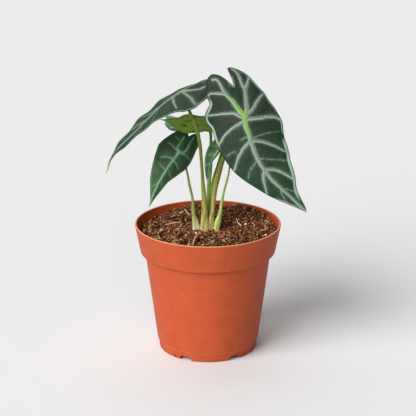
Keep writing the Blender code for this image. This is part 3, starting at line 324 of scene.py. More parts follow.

# Each blade is drawn flat: u runs from the junction with the stalk along the midrib to the tip, and
# v across it. plus and minus are the two halves' edges from the tip to the notch between the lobes,
# and notch is that point. spine is where the midrib's line runs in the plant, from between the lobes
# to the tip, and junction counts the spine point at the stalk. facing is the way the upper face
# looks. fold and curl, in degrees for the (minus, plus) halves, say how far each half slopes away
# from its upper face at the midrib, and how much further at half_width from it. wave is the height,
# the length and the start of the edge's waves. main veins run from the junction, each after the
# length of its green heart; side and thin veins branch off them, and vein_scale is the width of main
# and of other veins beside those of the largest blade. pale_rim_and_highlight has the stretches of the edge with a
# pale border, as (half, start, end, width), and dry_length is how far the tip has changed colour.
# edge_step is the spacing of the points on the solid's edge.
# The pale border of pale_rim_and_highlight is partly the marginal vein's own colour and partly a painted
# highlight where the margin turns to the light.
BLADES = {
    "right": dict(
        spine=[(9.4, -13, 217.8), (18.8, -18, 202.8), (26.7, -25, 187.8), (30.6, -34, 171.7),
               (37.5, -41, 155.6), (49.1, -46, 142.5), (70.6, -49, 122.8)],
        junction=2,
        facing=[(0, -1, 0.25)],
        fold=[(6, 8)],
        curl=[(20, 25)],
        half_width=30,
        plus=[(86, 0), (77.5, 2.6), (70, 5.2), (57.5, 10), (45, 14), (38, 17.3), (32, 20.4), (25, 22.8),
              (18, 25), (11, 26.2), (4, 27.2), (-2.5, 27.8), (-8, 29), (-12.5, 29.2), (-16, 27.2),
              (-18, 23.5), (-20.5, 20), (-25.5, 19.3), (-30.5, 17.2), (-34.5, 14.2), (-37.5, 10.5),
              (-38.2, 7.5), (-36.5, 4.2), (-31.5, 0.8), (-26.5, -1)],
        minus=[(82.4, -2.1), (77.4, -4.1), (73, -6), (67, -9.5), (63, -12.9), (57, -16.1), (50.5, -19.2),
               (44, -22.4), (33, -24.4), (23, -24.6), (14, -25.9), (7, -25.9), (2, -23.6),
               (-3.5, -20.9), (-9, -19.9), (-13.5, -18.3), (-18, -17.1), (-23, -15.9), (-28, -13.5),
               (-32.3, -10.3), (-35.4, -7.2), (-36, -5.2), (-33, -4.5), (-29, -4), (-26, -3.3)],
        notch=(-22.8, -2.2),
        wave=(0.9, 24, 0.4),
        main=[(22, [(0, 0), (4, 1.1), (9, 1.2), (13, 0.2), (20, 0), (36, -0.4), (44, -0.5), (51, 0.1),
                   (60, -0.5), (68, -0.7), (76, -0.4), (85, 0)]),
              (24, [(0, 0), (-4.2, 2.2), (-10, 3.2), (-15.3, 4.2), (-20.4, 5.6), (-26.3, 5.7),
                    (-30.6, 5.5), (-33.1, 6), (-34.8, 8.4)]),
              (5, [(0, 0), (-2.4, -2), (-7.7, -4.1), (-13.6, -6.8), (-17.6, -8), (-21, -8), (-26.3, -8.9),
                   (-31, -9), (-34, -7.6)])],
        side=[[(-0.5, -1.5), (-2.2, -6), (-5.7, -11.3), (-8, -15.8), (-8.7, -18.2)],
              [(3, -0.5), (3.5, -6), (4, -11.5), (4, -16.7), (4.8, -21.8), (6.4, -25.1)],
              [(0.8, 1.5), (-0.9, 3.5), (-4.9, 6.5), (-7.5, 11.2), (-10.2, 16.5), (-12.4, 21.7),
               (-13.9, 25)],
              [(4, 1.5), (5.1, 5.8), (6.6, 10.5), (8.8, 14.4), (10.6, 17.4), (13, 20.3), (15.5, 23.5)],
              [(19, 0), (20, -3.3), (21.4, -6.9), (23.7, -10.3), (27, -14.3), (32, -18), (40, -21.4)],
              [(19.5, 0), (20.1, 1.7), (21.5, 4.7), (24.4, 9), (26.8, 12.1), (30, 15.4), (32.8, 19)],
              [(-17, -8), (-19.6, -11.5), (-22.5, -14.4)],
              [(42.3, -0.5), (43.5, -2.6), (46, -5.2), (49.5, -7.6), (53.5, -9.2), (59, -10.8),
               (62.8, -11.4)],
              [(43, 0), (46.1, 3.6), (50, 6.2), (55.6, 9.4)],
              [(-20.4, 5.6), (-22.4, 8), (-25.2, 12), (-26.8, 15.1), (-26.5, 17.4)]],
        thin=[[(17.8, -0.6), (17.1, -4.1), (16, -10), (15.5, -16.6), (15.8, -22)],
              [(33, -0.4), (34.1, -3.2), (37, -7.1), (41.3, -12), (47, -16.5)],
              [(33.2, 0), (34.8, 2.4), (36.2, 6), (38.2, 9.8), (40.2, 12.3)],
              [(15.7, 0.5), (15.7, 2.9), (16.4, 6.8)], [(60, -1), (66, -4), (71, -5.5)],
              [(60, 0.2), (66, 3), (70, 4)], [(23.6, 19.7), (22.6, 15.7), (22.8, 12.7)]],
        vein_scale=(1.0, 1.0),
        sheen=0.12,
        pale_rim_and_highlight=[(-1, -34, 6, 0.25), (-1, 3, 22, 0.8), (-1, 22, 78, 1.7), (1, -27, 19, 1.5),
                  (1, 60, 84, 0.35)],
        edge_step=4.0,
        look="dark",
    ),
    "left": dict(
        spine=[(4.5, 15, 204.4), (-8.8, 8, 202.3), (-20.1, 0, 199.1), (-30.6, -3, 192.6),
               (-41.6, -6, 182.5), (-54.2, -9, 170), (-66.6, -12, 158.4), (-71.8, -13, 151),
               (-74.7, -14, 140.6)],
        junction=2,
        facing=[(-0.3, -0.1, 1), (-0.4, -0.1, 1), (-0.5, -0.1, 1), (-0.6, -0.1, 0.9),
                (-0.7, -0.1, 0.8), (-0.7, -0.1, 0.8), (-0.8, -0.1, 0.7), (-0.8, -0.1, 0.6),
                (-0.9, -0.1, 0.4)],
        fold=[(12, 8), (12, 8), (12, 8), (8, 6), (2, 4), (0, 0), (0, 0), (0, 0), (0, 0)],
        curl=[(25, 10), (25, 10), (25, 10), (15, 5), (10, 0), (0, 0), (0, 0), (0, 0), (0, 0)],
        half_width=28,
        plus=[(83, 0), (78, 1), (70, 4), (62, 7.6), (56.5, 11), (51.5, 14.8), (47, 16.8), (41.5, 18),
              (36.5, 20), (31.5, 21.8), (27, 22.3), (21.5, 20.5), (14, 19.2), (2, 19.6), (-8, 19),
              (-18, 16.5), (-26, 13), (-31, 8.5), (-30, 4), (-25, 1.5)],
        minus=[(80, -1.8), (74.5, -4), (69.5, -6.6), (63, -7.6), (56, -9), (49, -11.8), (42, -12.4),
               (36, -12.2), (32, -13), (28.5, -15.5), (25, -18.2), (21, -19.4), (15.9, -19),
               (10, -20.8), (5.9, -24), (1.6, -24.9), (-3, -22.4), (-9.5, -19), (-15, -16.8),
               (-21, -14), (-28, -9), (-31, -5), (-26, -1.5)],
        notch=(-20, 0),
        wave=(0.7, 22, 2.2),
        main=[(4, [(0, 0), (20, 0), (40, 0), (60, 0), (80, -0.3)]),
              (6, [(0, 0), (-3, -2.5), (-8, -6.5), (-14, -7.6), (-20, -7), (-27, -7)]),
              (6, [(0, 0), (-9, 3), (-18, 7), (-27, 9)])],
        side=[[(-1, -2), (-0.9, -10.8), (-0.5, -16.7), (0, -21.6)],
              [(6.5, -1), (7.7, -4), (8.9, -10.3), (9.7, -16.4)],
              [(-1, 2), (-3, 17)], [(20, 1), (33, 16)], [(34, 1), (47, 14)]],
        thin=[[(20, -1), (26, -7), (33, -14)], [(36, -1), (46, -10)],
              [(6, 1), (15, 18)], [(28, 1), (42, 13)], [(44, 1), (58, 9)]],
        vein_scale=(0.9, 0.7),
        sheen=0.24,
        freshness=0.45,
        dry_length=15.0,
        pale_rim_and_highlight=[(-1, -25, 60, 0.25), (1, -25, 70, 0.3)],
        edge_step=4.2,
        look="dark",
    ),
    "back": dict(
        spine=[(28.3, 9, 172.4), (10.5, 7, 174.4), (-2.1, 7, 174.1), (-14.7, 6, 174.3),
               (-26.5, 5, 176.5), (-35, 4, 177.2)],
        junction=1,
        facing=[(0, 0.7, 0.7)],
        fold=[(5, 5)],
        curl=[(10, 10)],
        half_width=16,
        plus=[(46, 0), (42, 1.6), (38.7, 3.9), (35, 8.6), (30.5, 11.2), (26, 11.8), (19, 11.5), (9, 11),
              (0, 11.5), (-8, 11), (-15, 8), (-17, 5), (-14, 2)],
        minus=[(42.5, -0.7), (39.5, -1.7), (36, -4.4), (33, -9.5), (31.3, -14.5), (29.2, -17),
               (26, -16.8), (22, -14.6), (18, -14), (14, -15.5), (6.7, -16), (-8, -14), (-15, -9),
               (-17, -5), (-14, -2)],
        notch=(-11, 0),
        wave=(0.8, 18, 1.0),
        main=[(8, [(0, 0), (14, 0), (28, 0), (44, 0.3)]), (4, [(0, 0), (-7, 3.5), (-14, 6)]),
              (4, [(0, 0), (-7, -4), (-14, -7)])],
        side=[[(0, 1), (1.5, 4), (3, 11)], [(9, 0.5), (12, 3.5), (18, 10.5)],
              [(19, 0.5), (22, 3.5), (28, 10.5)], [(0, -1), (1.5, -4), (4, -14)],
              [(9, -0.5), (12, -3.5), (15, -13)], [(18, -0.5), (21, -3.5), (27, -15)]],
        thin=[[(5, 0.5), (10, 10)], [(14, 0.5), (23, 10)], [(5, -0.5), (9, -13)], [(14, -0.5), (21, -13)],
              [(30, 0.5), (36, 5)], [(29, -0.5), (34, -5)]],
        vein_scale=(0.5, 0.4),
        edge_step=3.8,
        look="olive",
    ),
    "behind": dict(
        spine=[(-33.3, 34.5, 168.6), (-17.4, 35.5, 167.5), (0.8, 37.5, 166.2), (20.7, 41, 164.5),
               (41.6, 45, 151.5), (55.9, 48, 128.9)],
        junction=2,
        facing=[(0, -0.1, 1)],
        fold=[(3, 18), (10, 8), (14, 0), (14, 5), (12, 10), (10, 10)],
        curl=[(0, 20), (0, 10), (0, 0), (10, 10), (20, 20), (20, 20)],
        half_width=22,
        plus=[(72, 0), (60, 3.5), (50, 8), (38, 14), (25, 17), (12, 17.5), (0, 17.5), (-10, 17.5),
              (-20, 15.5), (-26, 13), (-29.7, 10.3), (-32, 7.4), (-33.6, 4), (-32.5, 1.4), (-27, 0.9)],
        minus=[(60, -3.5), (50, -8), (38, -14), (25, -17.5), (12, -18), (0, -17.8), (-10, -16.8),
               (-19.8, -14.8), (-25.5, -13.2), (-30, -10), (-32.8, -6), (-32, -2), (-27, -1.2)],
        notch=(-20, 0),
        wave=(0.8, 21, 0.0),
        main=[(6, [(0, 0), (20, 0), (44, 0), (69, 0)]), (4, [(0, 0), (-12, 4.5), (-29, 8)]),
              (4, [(0, 0), (-12, -4.5), (-29, -8)])],
        side=both_sides([(0, 2), (0, 5), (-2, 15)], [(7, 1), (18, 15)], [(21, 1), (34, 13)],
                        [(36, 1), (48, 7)], [(-13, 5), (-16, 14)]),
        thin=both_sides([(14, 1), (26, 15)], [(28, 1), (41, 11)], [(-6, 3), (-10, 16)],
                        [(-19, 6), (-25, 11)]),
        vein_scale=(0.6, 0.5),
        pale_rim_and_highlight=[(-1, -30, 60, 0.5), (1, -30, 60, 0.3)],
        edge_step=4.5,
        look="pale",
    ),
    "lower_left": dict(
        spine=[(-13.4, 18.5, 165.9), (-17.8, 10.5, 158.8), (-21.8, 3, 151), (-27.7, -3, 143.4),
               (-34.7, -8, 133.3), (-39.5, -11, 124.2), (-43.9, -13, 113.9)],
        junction=2,
        facing=[(-0.1, -0.93, 0.36)],
        fold=[(25, 0)],
        curl=[(40, 10)],
        half_width=16,
        plus=[(47, 0), (41, 1.2), (31.7, 5.4), (27, 8), (21.5, 10.4), (15.3, 12.6), (9, 14.8), (3.5, 16.2),
              (-2, 16.8), (-7.5, 15.6), (-11.5, 12.6), (-15, 9.9), (-18, 7.2), (-19.8, 4), (-19.5, 1)],
        minus=[(41.5, -1), (37, -2), (31, -3.5), (24, -5.1), (19, -6.8), (12.2, -9.6), (5.4, -12.3),
               (0.9, -12.8), (-3.5, -12.7), (-10.6, -13.1), (-18.2, -12.9), (-21.6, -11), (-23.1, -8),
               (-22.8, -5.6), (-21, -3.8)],
        notch=(-17.3, -1.8),
        wave=(0.5, 17, 0.6),
        main=[(4, [(-1.6, 0.4), (7.3, 1.2), (13.2, 1.2), (21.8, 1), (28.5, 0.9), (34.8, 0.9), (45, 0)]),
              (3, [(-1.6, 0.4), (-3.6, 2.4), (-9.1, 1.9), (-14.3, 1.2)]),
              (3, [(-1.6, 0.4), (-2.5, -2.3), (-12.2, -5), (-19.6, -5.8)])],
        side=[[(-2, 1.5), (-2.7, 3.3), (-5.1, 7.2), (-6.5, 10.6)],
              [(5, 1), (5.5, 1.9), (6.9, 6.1), (9.6, 9.8)],
              [(-1, 0), (-2, -4.6), (-1.9, -7.7), (-1.6, -10.7)],
              [(6.5, 1), (7.2, -1), (7.7, -3.5), (9.5, -6)]],
        thin=[[(14.5, 1), (15.5, 3.1), (15.1, 6), (13.9, 8.4)], [(15, -0.5), (18, -4), (19, -6.5)],
              [(26, 0.5), (31, 4)], [(25, -0.5), (30, -3.2)], [(-10, 2), (-13, 8)]],
        vein_scale=(0.5, 0.45),
        sheen=0.22,
        pale_rim_and_highlight=[(1, -10, 40, 0.25), (-1, -18, 40, 0.25)],
        edge_step=3.8,
        look="fresh",
    ),
    "small": dict(
        spine=[(15.6, 4, 163.8), (11.6, 3, 158.6), (7.1, 2, 152.4), (2.7, 1, 145.7), (0.5, 0, 137.9),
               (0.2, -1, 129.3)],
        junction=1,
        facing=[(-0.2, -0.93, 0.3)],
        fold=[(-66, 4)],
        curl=[(-14, 24)],
        half_width=10,
        plus=[(33, 0), (29, 1.5), (24.6, 2.6), (19, 4.6), (15.5, 6.3), (12, 7.6), (7.6, 8.7), (2, 7.9),
              (-4, 6), (-8, 3)],
        minus=[(28, -1.5), (20, -4), (10, -7.5), (0, -8.5), (-6, -7), (-9, -3)],
        notch=(-6, 0),
        wave=(0.4, 11, 0.7),
        main=[(10, [(0, 0), (10, 0), (20, 0), (31, 0)]), (3, [(0, 0), (-4, 1.5), (-7, 2)]),
              (3, [(0, 0), (-4, -2.5), (-7, -4)])],
        side=[],
        thin=[[(2, 0.3), (6, 6)], [(9, 0.3), (14, 5.5)], [(17, 0.3), (21, 3.5)], [(2, -0.3), (4, -7)],
              [(9, -0.3), (13, -6)], [(16, -0.3), (20, -3.5)]],
        vein_scale=(0.45, 0.4),
        pale_rim_and_highlight=[(1, -4, 28, 0.3)],
        edge_step=3.5,
        look="young",
    ),
}

# Each stalk goes up from its foot in the soil, given by x, y and radius. The rows of its path are x,
# y, z and radius, and its last point is worked out from its blade.
STALKS = {
    "right": dict(
        foot=(2.0, 0.2, 2.3),
        path=[(3.8, 1, 110.9, 1.9), (5, 0, 123.3, 1.95), (7.2, -2, 133.8, 2), (10.6, -5, 147.9, 1.8),
              (16.6, -11, 165.7, 1.5), (22.6, -18, 180, 1.35)],
        end_radius=1.2,
    ),
    "left": dict(
        foot=(-3.4, -1.2, 2.6),
        path=[(-2.5, -0.8, 104, 2.5), (-2.7, -0.5, 115.9, 2.1), (-3.8, -2, 132.2, 1.4),
              (-4.8, -5.5, 148.8, 1.25), (-6.3, -9, 165.1, 1.4), (-8.9, -11, 177, 1.35),
              (-13.8, -9.2, 187.8, 1.15)],
        end_radius=0.95,
    ),
    "back": dict(
        foot=(0.4, 4.9, 2.0),
        path=[(0.9, 5.2, 106, 1.9), (2.0, 6, 119.5, 1.6), (4.6, 8, 130.7, 1.5), (8.7, 10, 143.4, 1.4),
              (11.3, 10.5, 155, 1.2), (11.6, 9, 165, 1.1)],
        end_radius=0.9,
    ),
    "behind": dict(
        foot=(0.8, 9.6, 1.9),
        path=[(0.6, 10.6, 110, 1.6), (0.8, 14, 125, 1.4), (2.0, 18.5, 135, 1.3),
              (2.2, 25.5, 149.5, 1.2), (2.1, 31, 158.6, 1.1)],
        end_radius=0.95,
    ),
    "lower_left": dict(
        foot=(-9.0, -0.5, 2.6),
        path=[(-9.4, -0.2, 98.5, 2.4), (-10.7, 0, 105.7, 1.6), (-11.3, 1, 115.6, 1.1),
              (-13.7, 3.4, 126.8, 0.98), (-16.1, 6.6, 138.4, 0.82), (-19, 8, 147, 0.7)],
        end_radius=0.7,
    ),
    "small": dict(
        foot=(7.0, -0.8, 1.9),
        path=[(7.5, -0.8, 97.7, 2.3), (9.2, -0.5, 106.2, 1.6), (10.3, 0, 113.7, 1.2),
              (11.9, 0, 122.5, 0.95), (13.7, 0.3, 129.3, 0.85), (15.4, 0.8, 136.5, 0.75),
              (16.2, 2.5, 144, 0.7), (15.4, 5, 152, 0.65)],
        end_radius=0.6,
    ),
}

# Each scrap of dry sheath: its foot's x and y, its turn in degrees, its height, its width at the
# foot and the radius that it is curled to. It narrows and leans towards its top.
SCRAPS = {
    "left": dict(foot=(-6.7, 3.4), turn=20, height=9.5, width=2.8, curl_radius=2.4),
    "right": dict(foot=(5.0, 3.6), turn=-15, height=8.0, width=2.6, curl_radius=2.2),
}


def linear(colour):
    """An sRGB hex colour as the linear red, green, blue and alpha that the shaders take."""
    parts = np.array([int(colour[i:i + 2], 16) for i in (1, 3, 5)]) / 255
    low = parts / 12.92
    high = ((parts + 0.055) / 1.055) ** 2.4
    return (*np.where(parts <= 0.04045, low, high).tolist(), 1.0)


# Large primes that scatter a cell's whole-numbered place, the seed and the mixed number
PLACE_PRIMES = (73856093, 19349663, 83492791)
SEED_PRIME = 15485863
MIX_PRIME = 1274126177


def bumps(points, size, seed):
    """Smooth random bumps from -1 to 1: every cell of a grid of that size has a random corner value,
    hashed from its whole-numbered place, and the values are blended by smooth steps between corners."""
    scaled = np.asarray(points, float) / size
    cell = np.floor(scaled).astype(np.int64)
    share = scaled - cell
    share = share * share * (3 - 2 * share)
    total = np.zeros(scaled.shape[:-1])
    primes = np.array(PLACE_PRIMES[:scaled.shape[-1]])
    for corner in np.ndindex(*(2,) * scaled.shape[-1]):
        corner = np.array(corner)
        mixed = ((cell + corner) * primes).sum(axis=-1) + seed * SEED_PRIME
        mixed = (mixed ^ (mixed >> 13)) * MIX_PRIME
        mixed = (mixed ^ (mixed >> 16)) & 0xFFFF
        weight = np.where(corner == 1, share, 1 - share).prod(axis=-1)
        total += weight * (mixed / 32767.5 - 1)
    return total


def mixed_bumps(points, layers, seed):
    """Bumps of several sizes added up. layers has the height and the size of each."""
    return sum(high * bumps(points, size, seed + i) for i, (high, size) in enumerate(layers))


def smooth(low, high, values):
    """0 below low and 1 above high, with a smooth step between; high may be the smaller of the two."""
    share = np.clip((values - low) / (high - low), 0, 1)
    return share * share * (3 - 2 * share)


def corners(quads):
    """Faces from rows of four corners: a row whose neighbours repeat becomes a triangle or nothing."""
    same = quads == np.roll(quads, -1, axis=1)
    repeats = same.sum(axis=1)
    three = quads[repeats == 1]
    kept = three[~same[repeats == 1]].reshape(-1, 3)
    return quads[repeats == 0].tolist() + kept.tolist()


def sheet_quads(rows, columns, closed=False):
    """The corners of every cell of a grid of rows by columns; closed joins the last column to the first."""
    row = np.arange(rows - 1)[:, None]
    column = np.arange(columns if closed else columns - 1)[None, :]
    after = (column + 1) % columns
    cells = [row * columns + column, row * columns + after, (row + 1) * columns + after,
             (row + 1) * columns + column]
    return np.stack(cells, axis=-1).reshape(-1, 4)


def tube_faces(rings, sides):
    """The faces of a closed tube: the cells between its rings and a fan of triangles over each end. Its
    points are the rings in order, and then the middles of the first ring and of the last."""
    here = np.arange(sides)
    there = (here + 1) % sides
    last = (rings - 1) * sides
    middle = rings * sides
    start = np.stack([np.full(sides, middle), there, here], axis=1)
    end = np.stack([np.full(sides, middle + 1), last + here, last + there], axis=1)
    return sheet_quads(rings, sides, closed=True), np.concatenate([start, end])


def grid_points(x, y, z=None):
    """The points of a grid, in rows, from values that go down it, across it or both ways."""
    parts = (x, y) if z is None else (x, y, z)
    return np.stack(np.broadcast_arrays(*parts), axis=-1).reshape(-1, len(parts))


def circle(sides):
    """Evenly spaced angles of a full turn."""
    return 2 * np.pi * np.arange(sides) / sides


def outward(mesh):
    """Turns a closed mesh's faces outwards."""
    body = bmesh.new()
    body.from_mesh(mesh)
    bmesh.ops.recalc_face_normals(body, faces=body.faces)
    body.to_mesh(mesh)
    body.free()


def piece(name, points, faces, finish, stands_for=(), attributes=None, uv=None, crease=None):
    """Puts a mesh in millimetres into the scene as a smooth piece that rides on the plant's body. crease
    is the least angle between faces that shows as an edge. A piece without it is turned outwards."""
    mesh = bpy.data.meshes.new(name)
    mesh.from_pydata((np.asarray(points) * MM).tolist(), [], faces)
    mesh.validate()
    mesh.shade_smooth()
    if crease:
        mesh.set_sharp_from_angle(angle=math.radians(crease))
    for label, values in (attributes or {}).items():
        layer = mesh.attributes.new(label, "FLOAT", "POINT")
        layer.data.foreach_set("value", np.asarray(values, np.float32))
    if uv is not None:
        corner = np.empty(len(mesh.loops), np.int32)
        mesh.loops.foreach_get("vertex_index", corner)
        places = np.asarray(uv, np.float32)[corner]
        mesh.uv_layers.new(name="flat").data.foreach_set("uv", places.ravel())
    mesh.materials.append(finish)
    if not crease:
        outward(mesh)
    made = bpy.data.objects.new(name, mesh)
    bpy.context.scene.collection.objects.link(made)
    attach(made, "root")
    if stands_for:
        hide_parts(*stands_for)
    return made


def node(tree, kind, inputs=(), out=0, **settings):
    """Adds a shader node with its settings and gives one of its outputs. inputs, by socket or in the
    sockets' order, are values or other nodes' outputs."""
    made = tree.nodes.new(f"ShaderNode{kind}")
    for name, value in settings.items():
        setattr(made, name, value)
    pairs = inputs.items() if isinstance(inputs, dict) else enumerate(inputs)
    for socket, value in pairs:
        if isinstance(value, bpy.types.NodeSocket):
            tree.links.new(value, made.inputs[socket])
        else:
            made.inputs[socket].default_value = value
    return made.outputs[out]


def new_finish(name, **settings):
    """A material with its tree and its shader, whose even values are set on the shader's own sockets."""
    made = bpy.data.materials.new(name)
    made.use_nodes = True
    shader = made.node_tree.nodes["Principled BSDF"]
    for socket, value in settings.items():
        shader.inputs[socket.replace("_", " ")].default_value = value
    return made, made.node_tree, shader


# A step that eases in and out, for a node that turns one range of values into another
EASED = dict(interpolation_type="SMOOTHSTEP")


def layered(tree, colour, *layers):
    """A colour with others painted over it in turn. A layer has its colour and a value, which is how much
    it covers. Where two bounds follow, it covers nothing at the first value and eases in to cover all,
    or the given most, at the second."""
    for over, share, *span in layers:
        if span:
            start, end, most = (*span, 1.0)[:3]
            share = node(tree, "MapRange", (share, start, end, 0.0, most), **EASED)
        first, second = (linear(tone) if isinstance(tone, str) else tone for tone in (colour, over))
        colour = node(tree, "Mix", {0: share, 6: first, 7: second}, 2, data_type="RGBA")
    return colour


def dress(tree, shader, colour, height, strength, depth):
    """Gives the shader its colour, and the relief of a pattern that is depth millimetres deep."""
    tree.links.new(colour, shader.inputs["Base Color"])
    relief = node(tree, "Bump", {"Height": height, "Strength": strength, "Distance": depth * MM})
    tree.links.new(relief, shader.inputs["Normal"])


# The leaves' colours. upper is the face between the veins, with cast and fresh as its two variations: cast
# is a grey painted sheen in blotches, and fresh is greener. halo is a grey painted sheen beside the veins
# and in fine flecks, and rim is the pale border inside the edge, partly the marginal vein's own colour and
# partly a painted highlight. spots is the most that the mottle covers of the underside.
LOOKS = {
    "dark": dict(upper="#1D2C23", painted_sheen="#2C2D27", fresh="#1B3B22", vein="#647565", heart="#648E42",
                 sheen_halo="#434941", edge="#16211B", rim="#86A08A", under="#6C8458", under_vein="#93A674",
                 mottle="#4C5A3C", tip="#8FA965", gloss=0.52, spots=0.6),
    "olive": dict(upper="#2C4A26", painted_sheen="#3C4526", fresh="#3C6228", vein="#8FAA6A", heart="#8CC05A",
                  sheen_halo="#55653C", edge="#34451C", rim="#6E8C36", under="#729234", under_vein="#829F48",
                  mottle="#45401A", tip="#5A3A20", gloss=0.45, spots=1.0),
    "pale": dict(upper="#7BA287", painted_sheen="#638A6A", fresh="#54885A", vein="#B9CDB9", heart="#A0C888",
                 sheen_halo="#7F9C84", edge="#3A5C40", rim="#A8C4AC", under="#7E9A6A", under_vein="#A9BC90",
                 mottle="#5C7A50", tip="#B0B060", gloss=0.36, spots=0.6),
    "fresh": dict(upper="#284029", painted_sheen="#3A4232", fresh="#304F29", vein="#5F7F62", heart="#6C9470",
                  sheen_halo="#345A40", edge="#2C5030", rim="#4F7A45", under="#6A8A50", under_vein="#93AC70",
                  mottle="#52663C", tip="#8FB04A", gloss=0.5, spots=0.6),
    "young": dict(upper="#20451C", painted_sheen="#284E22", fresh="#2F5A26", vein="#7FA67A", heart="#9AC06A",
                  sheen_halo="#3C6A3A", edge="#2A5028", rim="#6A9050", under="#8A9A85", under_vein="#A4B49A",
                  mottle="#6E8468", tip="#8FB04A", gloss=0.38, spots=0.5),
}
# The colour of the painted highlight that runs along one side of each vein's middle
VEIN_HIGHLIGHT = "#C6DAC0"
# A leaf's patterns: the size of each one's marks in millimetres, how finely they break up and how rough
# that is. FEATHER_REACH is how far the feathers of a vein's border run apart, also in millimetres.
LEAF_PATTERNS = {
    "blotch": (14.0, 2.0, 0.5),
    "cloud": (3.5, 4.0, 0.6),
    "hairs": (0.8, 2.0, 0.5),
    "feather": (1.7, 4.0, 0.65),
    "mottle": (5.0, 5.0, 0.6),
    "wax": (3.0, 2.0, 0.5),
    "grain": (0.9, 3.0, 0.5),
    "pucker": (4.0, 2.0, 0.5),
}
FEATHER_REACH = 3.2
LEAF_FIELDS = ("vein_gap", "vein_highlight", "heart", "edge_gap", "upper", "fresh", "rim", "dried")


def waxy_leaf(name, look, sheen):
    """Living aroid leaf, grown and coated with wax: a dark half-gloss face with grey painted sheen in
    blotches and beside the veins, pale feathered veins with a painted highlight along one side of their
    middle, a pale rim inside the edge that is partly a painted highlight, and a matter, mottled underside."""
    made, tree, shader = new_finish(f"living_leaf_waxy_{name}", IOR=1.42, Specular_IOR_Level=sheen)
    flat = node(tree, "UVMap", uv_map="flat")
    noise = {}
    for label, (size, detail, rough) in LEAF_PATTERNS.items():
        sockets = {"Vector": flat, "Scale": UV_SPAN / size, "Detail": detail, "Roughness": rough}
        noise[label] = node(tree, "TexNoise", sockets)
    field = {label: node(tree, "Attribute", out="Fac", attribute_name=label) for label in LEAF_FIELDS}
    gap = field["vein_gap"]
    edge = field["edge_gap"]
    shifted = node(tree, "Math", (noise["feather"], -0.5), operation="ADD")
    ragged = node(tree, "Math", (shifted, FEATHER_REACH, gap), operation="MULTIPLY_ADD")
    vein = layered(tree, look["vein"], (look["heart"], field["heart"]))
    # A painted highlight along one side of each vein's middle: the vein's colour, lightened near that line
    light = layered(tree, vein, (VEIN_HIGHLIGHT, 0.4))
    vein = layered(tree, vein, (light, field["vein_highlight"], 0.52, 0.1, 0.82))
    face = layered(tree, look["upper"],
                   # painted sheen: greyer blotches over the face
                   (look["painted_sheen"], noise["blotch"], 0.42, 0.62),
                   (look["fresh"], field["fresh"]),
                   # painted sheen in the halo's grey: fine flecks here, and a band beside the veins below
                   (look["sheen_halo"], noise["hairs"], 0.5, 0.68, 0.4),
                   (look["edge"], noise["cloud"], 0.52, 0.36, 0.45),
                   (look["sheen_halo"], gap, 2.2, 0.0, 0.6),
                   (vein, ragged, 0.45, -0.45),
                   # The pale rim: partly the marginal vein's own colour, partly a painted highlight
                   (look["rim"], field["rim"]),
                   (look["edge"], edge, 0.55, 0.25, 0.8))
    colour = layered(tree, look["under"],
                     (look["mottle"], noise["mottle"], 0.48, 0.66, look["spots"]),
                     (look["under_vein"], ragged, 0.6, -0.3, 0.75),
                     (look["edge"], edge, 0.6, 0.2, 0.7),
                     (face, field["upper"]),
                     (look["tip"], field["dried"]))
    gloss = look["gloss"]
    gloss = node(tree, "MapRange", (noise["wax"], 0.3, 0.7, gloss - 0.05, gloss + 0.09), **EASED)
    tree.links.new(gloss, shader.inputs["Roughness"])
    grain = node(tree, "Math", (noise["grain"], noise["pucker"]), operation="ADD")
    dress(tree, shader, colour, grain, 0.5, 0.12)
    return made


def moulded_polypropylene():
    """Terracotta-coloured polypropylene, injection moulded: satin matt from the mould's fine spark-eroded
    skin, with very faint clouds where the pigment flowed, a painted highlight along the lip and a paler
    line round the ledge."""
    made, tree, shader = new_finish("polypropylene_moulded_terracotta", Roughness=0.58, IOR=1.49,
                                    Specular_IOR_Level=0.25)
    place = node(tree, "TexCoord", out="Object")
    cloud = node(tree, "TexNoise", {"Vector": place, "Scale": 1 / (9 * MM), "Detail": 3.0})
    fine = node(tree, "TexNoise", {"Vector": place, "Scale": 1 / (0.9 * MM), "Detail": 2.0})
    height = node(tree, "SeparateXYZ", (place,), 2)
    # A paler line round the ledge, broken up by fine noise
    above = node(tree, "Math", (height, LEDGE_HEIGHT * MM), operation="SUBTRACT")
    away = node(tree, "Math", (above,), operation="ABSOLUTE")
    near = node(tree, "MapRange", (away, 0.5 * MM, 0.15 * MM, 0.0, 1.0), **EASED)
    ledge_breaks = node(tree, "MapRange", (fine, 0.4, 0.6, 0.0, 1.0), **EASED)
    ledge_line = node(tree, "Math", (near, ledge_breaks), operation="MULTIPLY")
    colour = layered(tree, "#AE4A26",
                     ("#A64421", cloud, 0.3, 0.7),
                     ("#BA5A34", fine, 0.35, 0.7, 0.25),
                     # painted highlight along the lip's top
                     ("#EDB092", height, (POT_HEIGHT - LIP_HIGHLIGHT_DEPTH) * MM, POT_HEIGHT * MM, 0.6),
                     ("#D98A66", ledge_line))
    dress(tree, shader, colour, fine, 0.2, 0.06)
    return made


def crumbly(name, dark, middle, light, grain):
    """Damp coco and peat, milled and sieved: matt browns that change from crumb to crumb, with fine
    fibres as a rough grain."""
    made, tree, shader = new_finish(name, Roughness=0.9, IOR=1.4, Specular_IOR_Level=0.25)
    place = node(tree, "TexCoord", out="Object")
    fine = node(tree, "TexNoise", {"Vector": place, "Scale": 1 / (grain * MM), "Detail": 4.0})
    tone = node(tree, "Attribute", out="Fac", attribute_name="tone")
    colour = layered(tree, dark,
                     (middle, tone, 0.0, 0.6),
                     (light, tone, 0.65, 1.0),
                     (dark, fine, 0.42, 0.6, 0.55))
    dress(tree, shader, colour, fine, 0.6, 0.25)
    return made


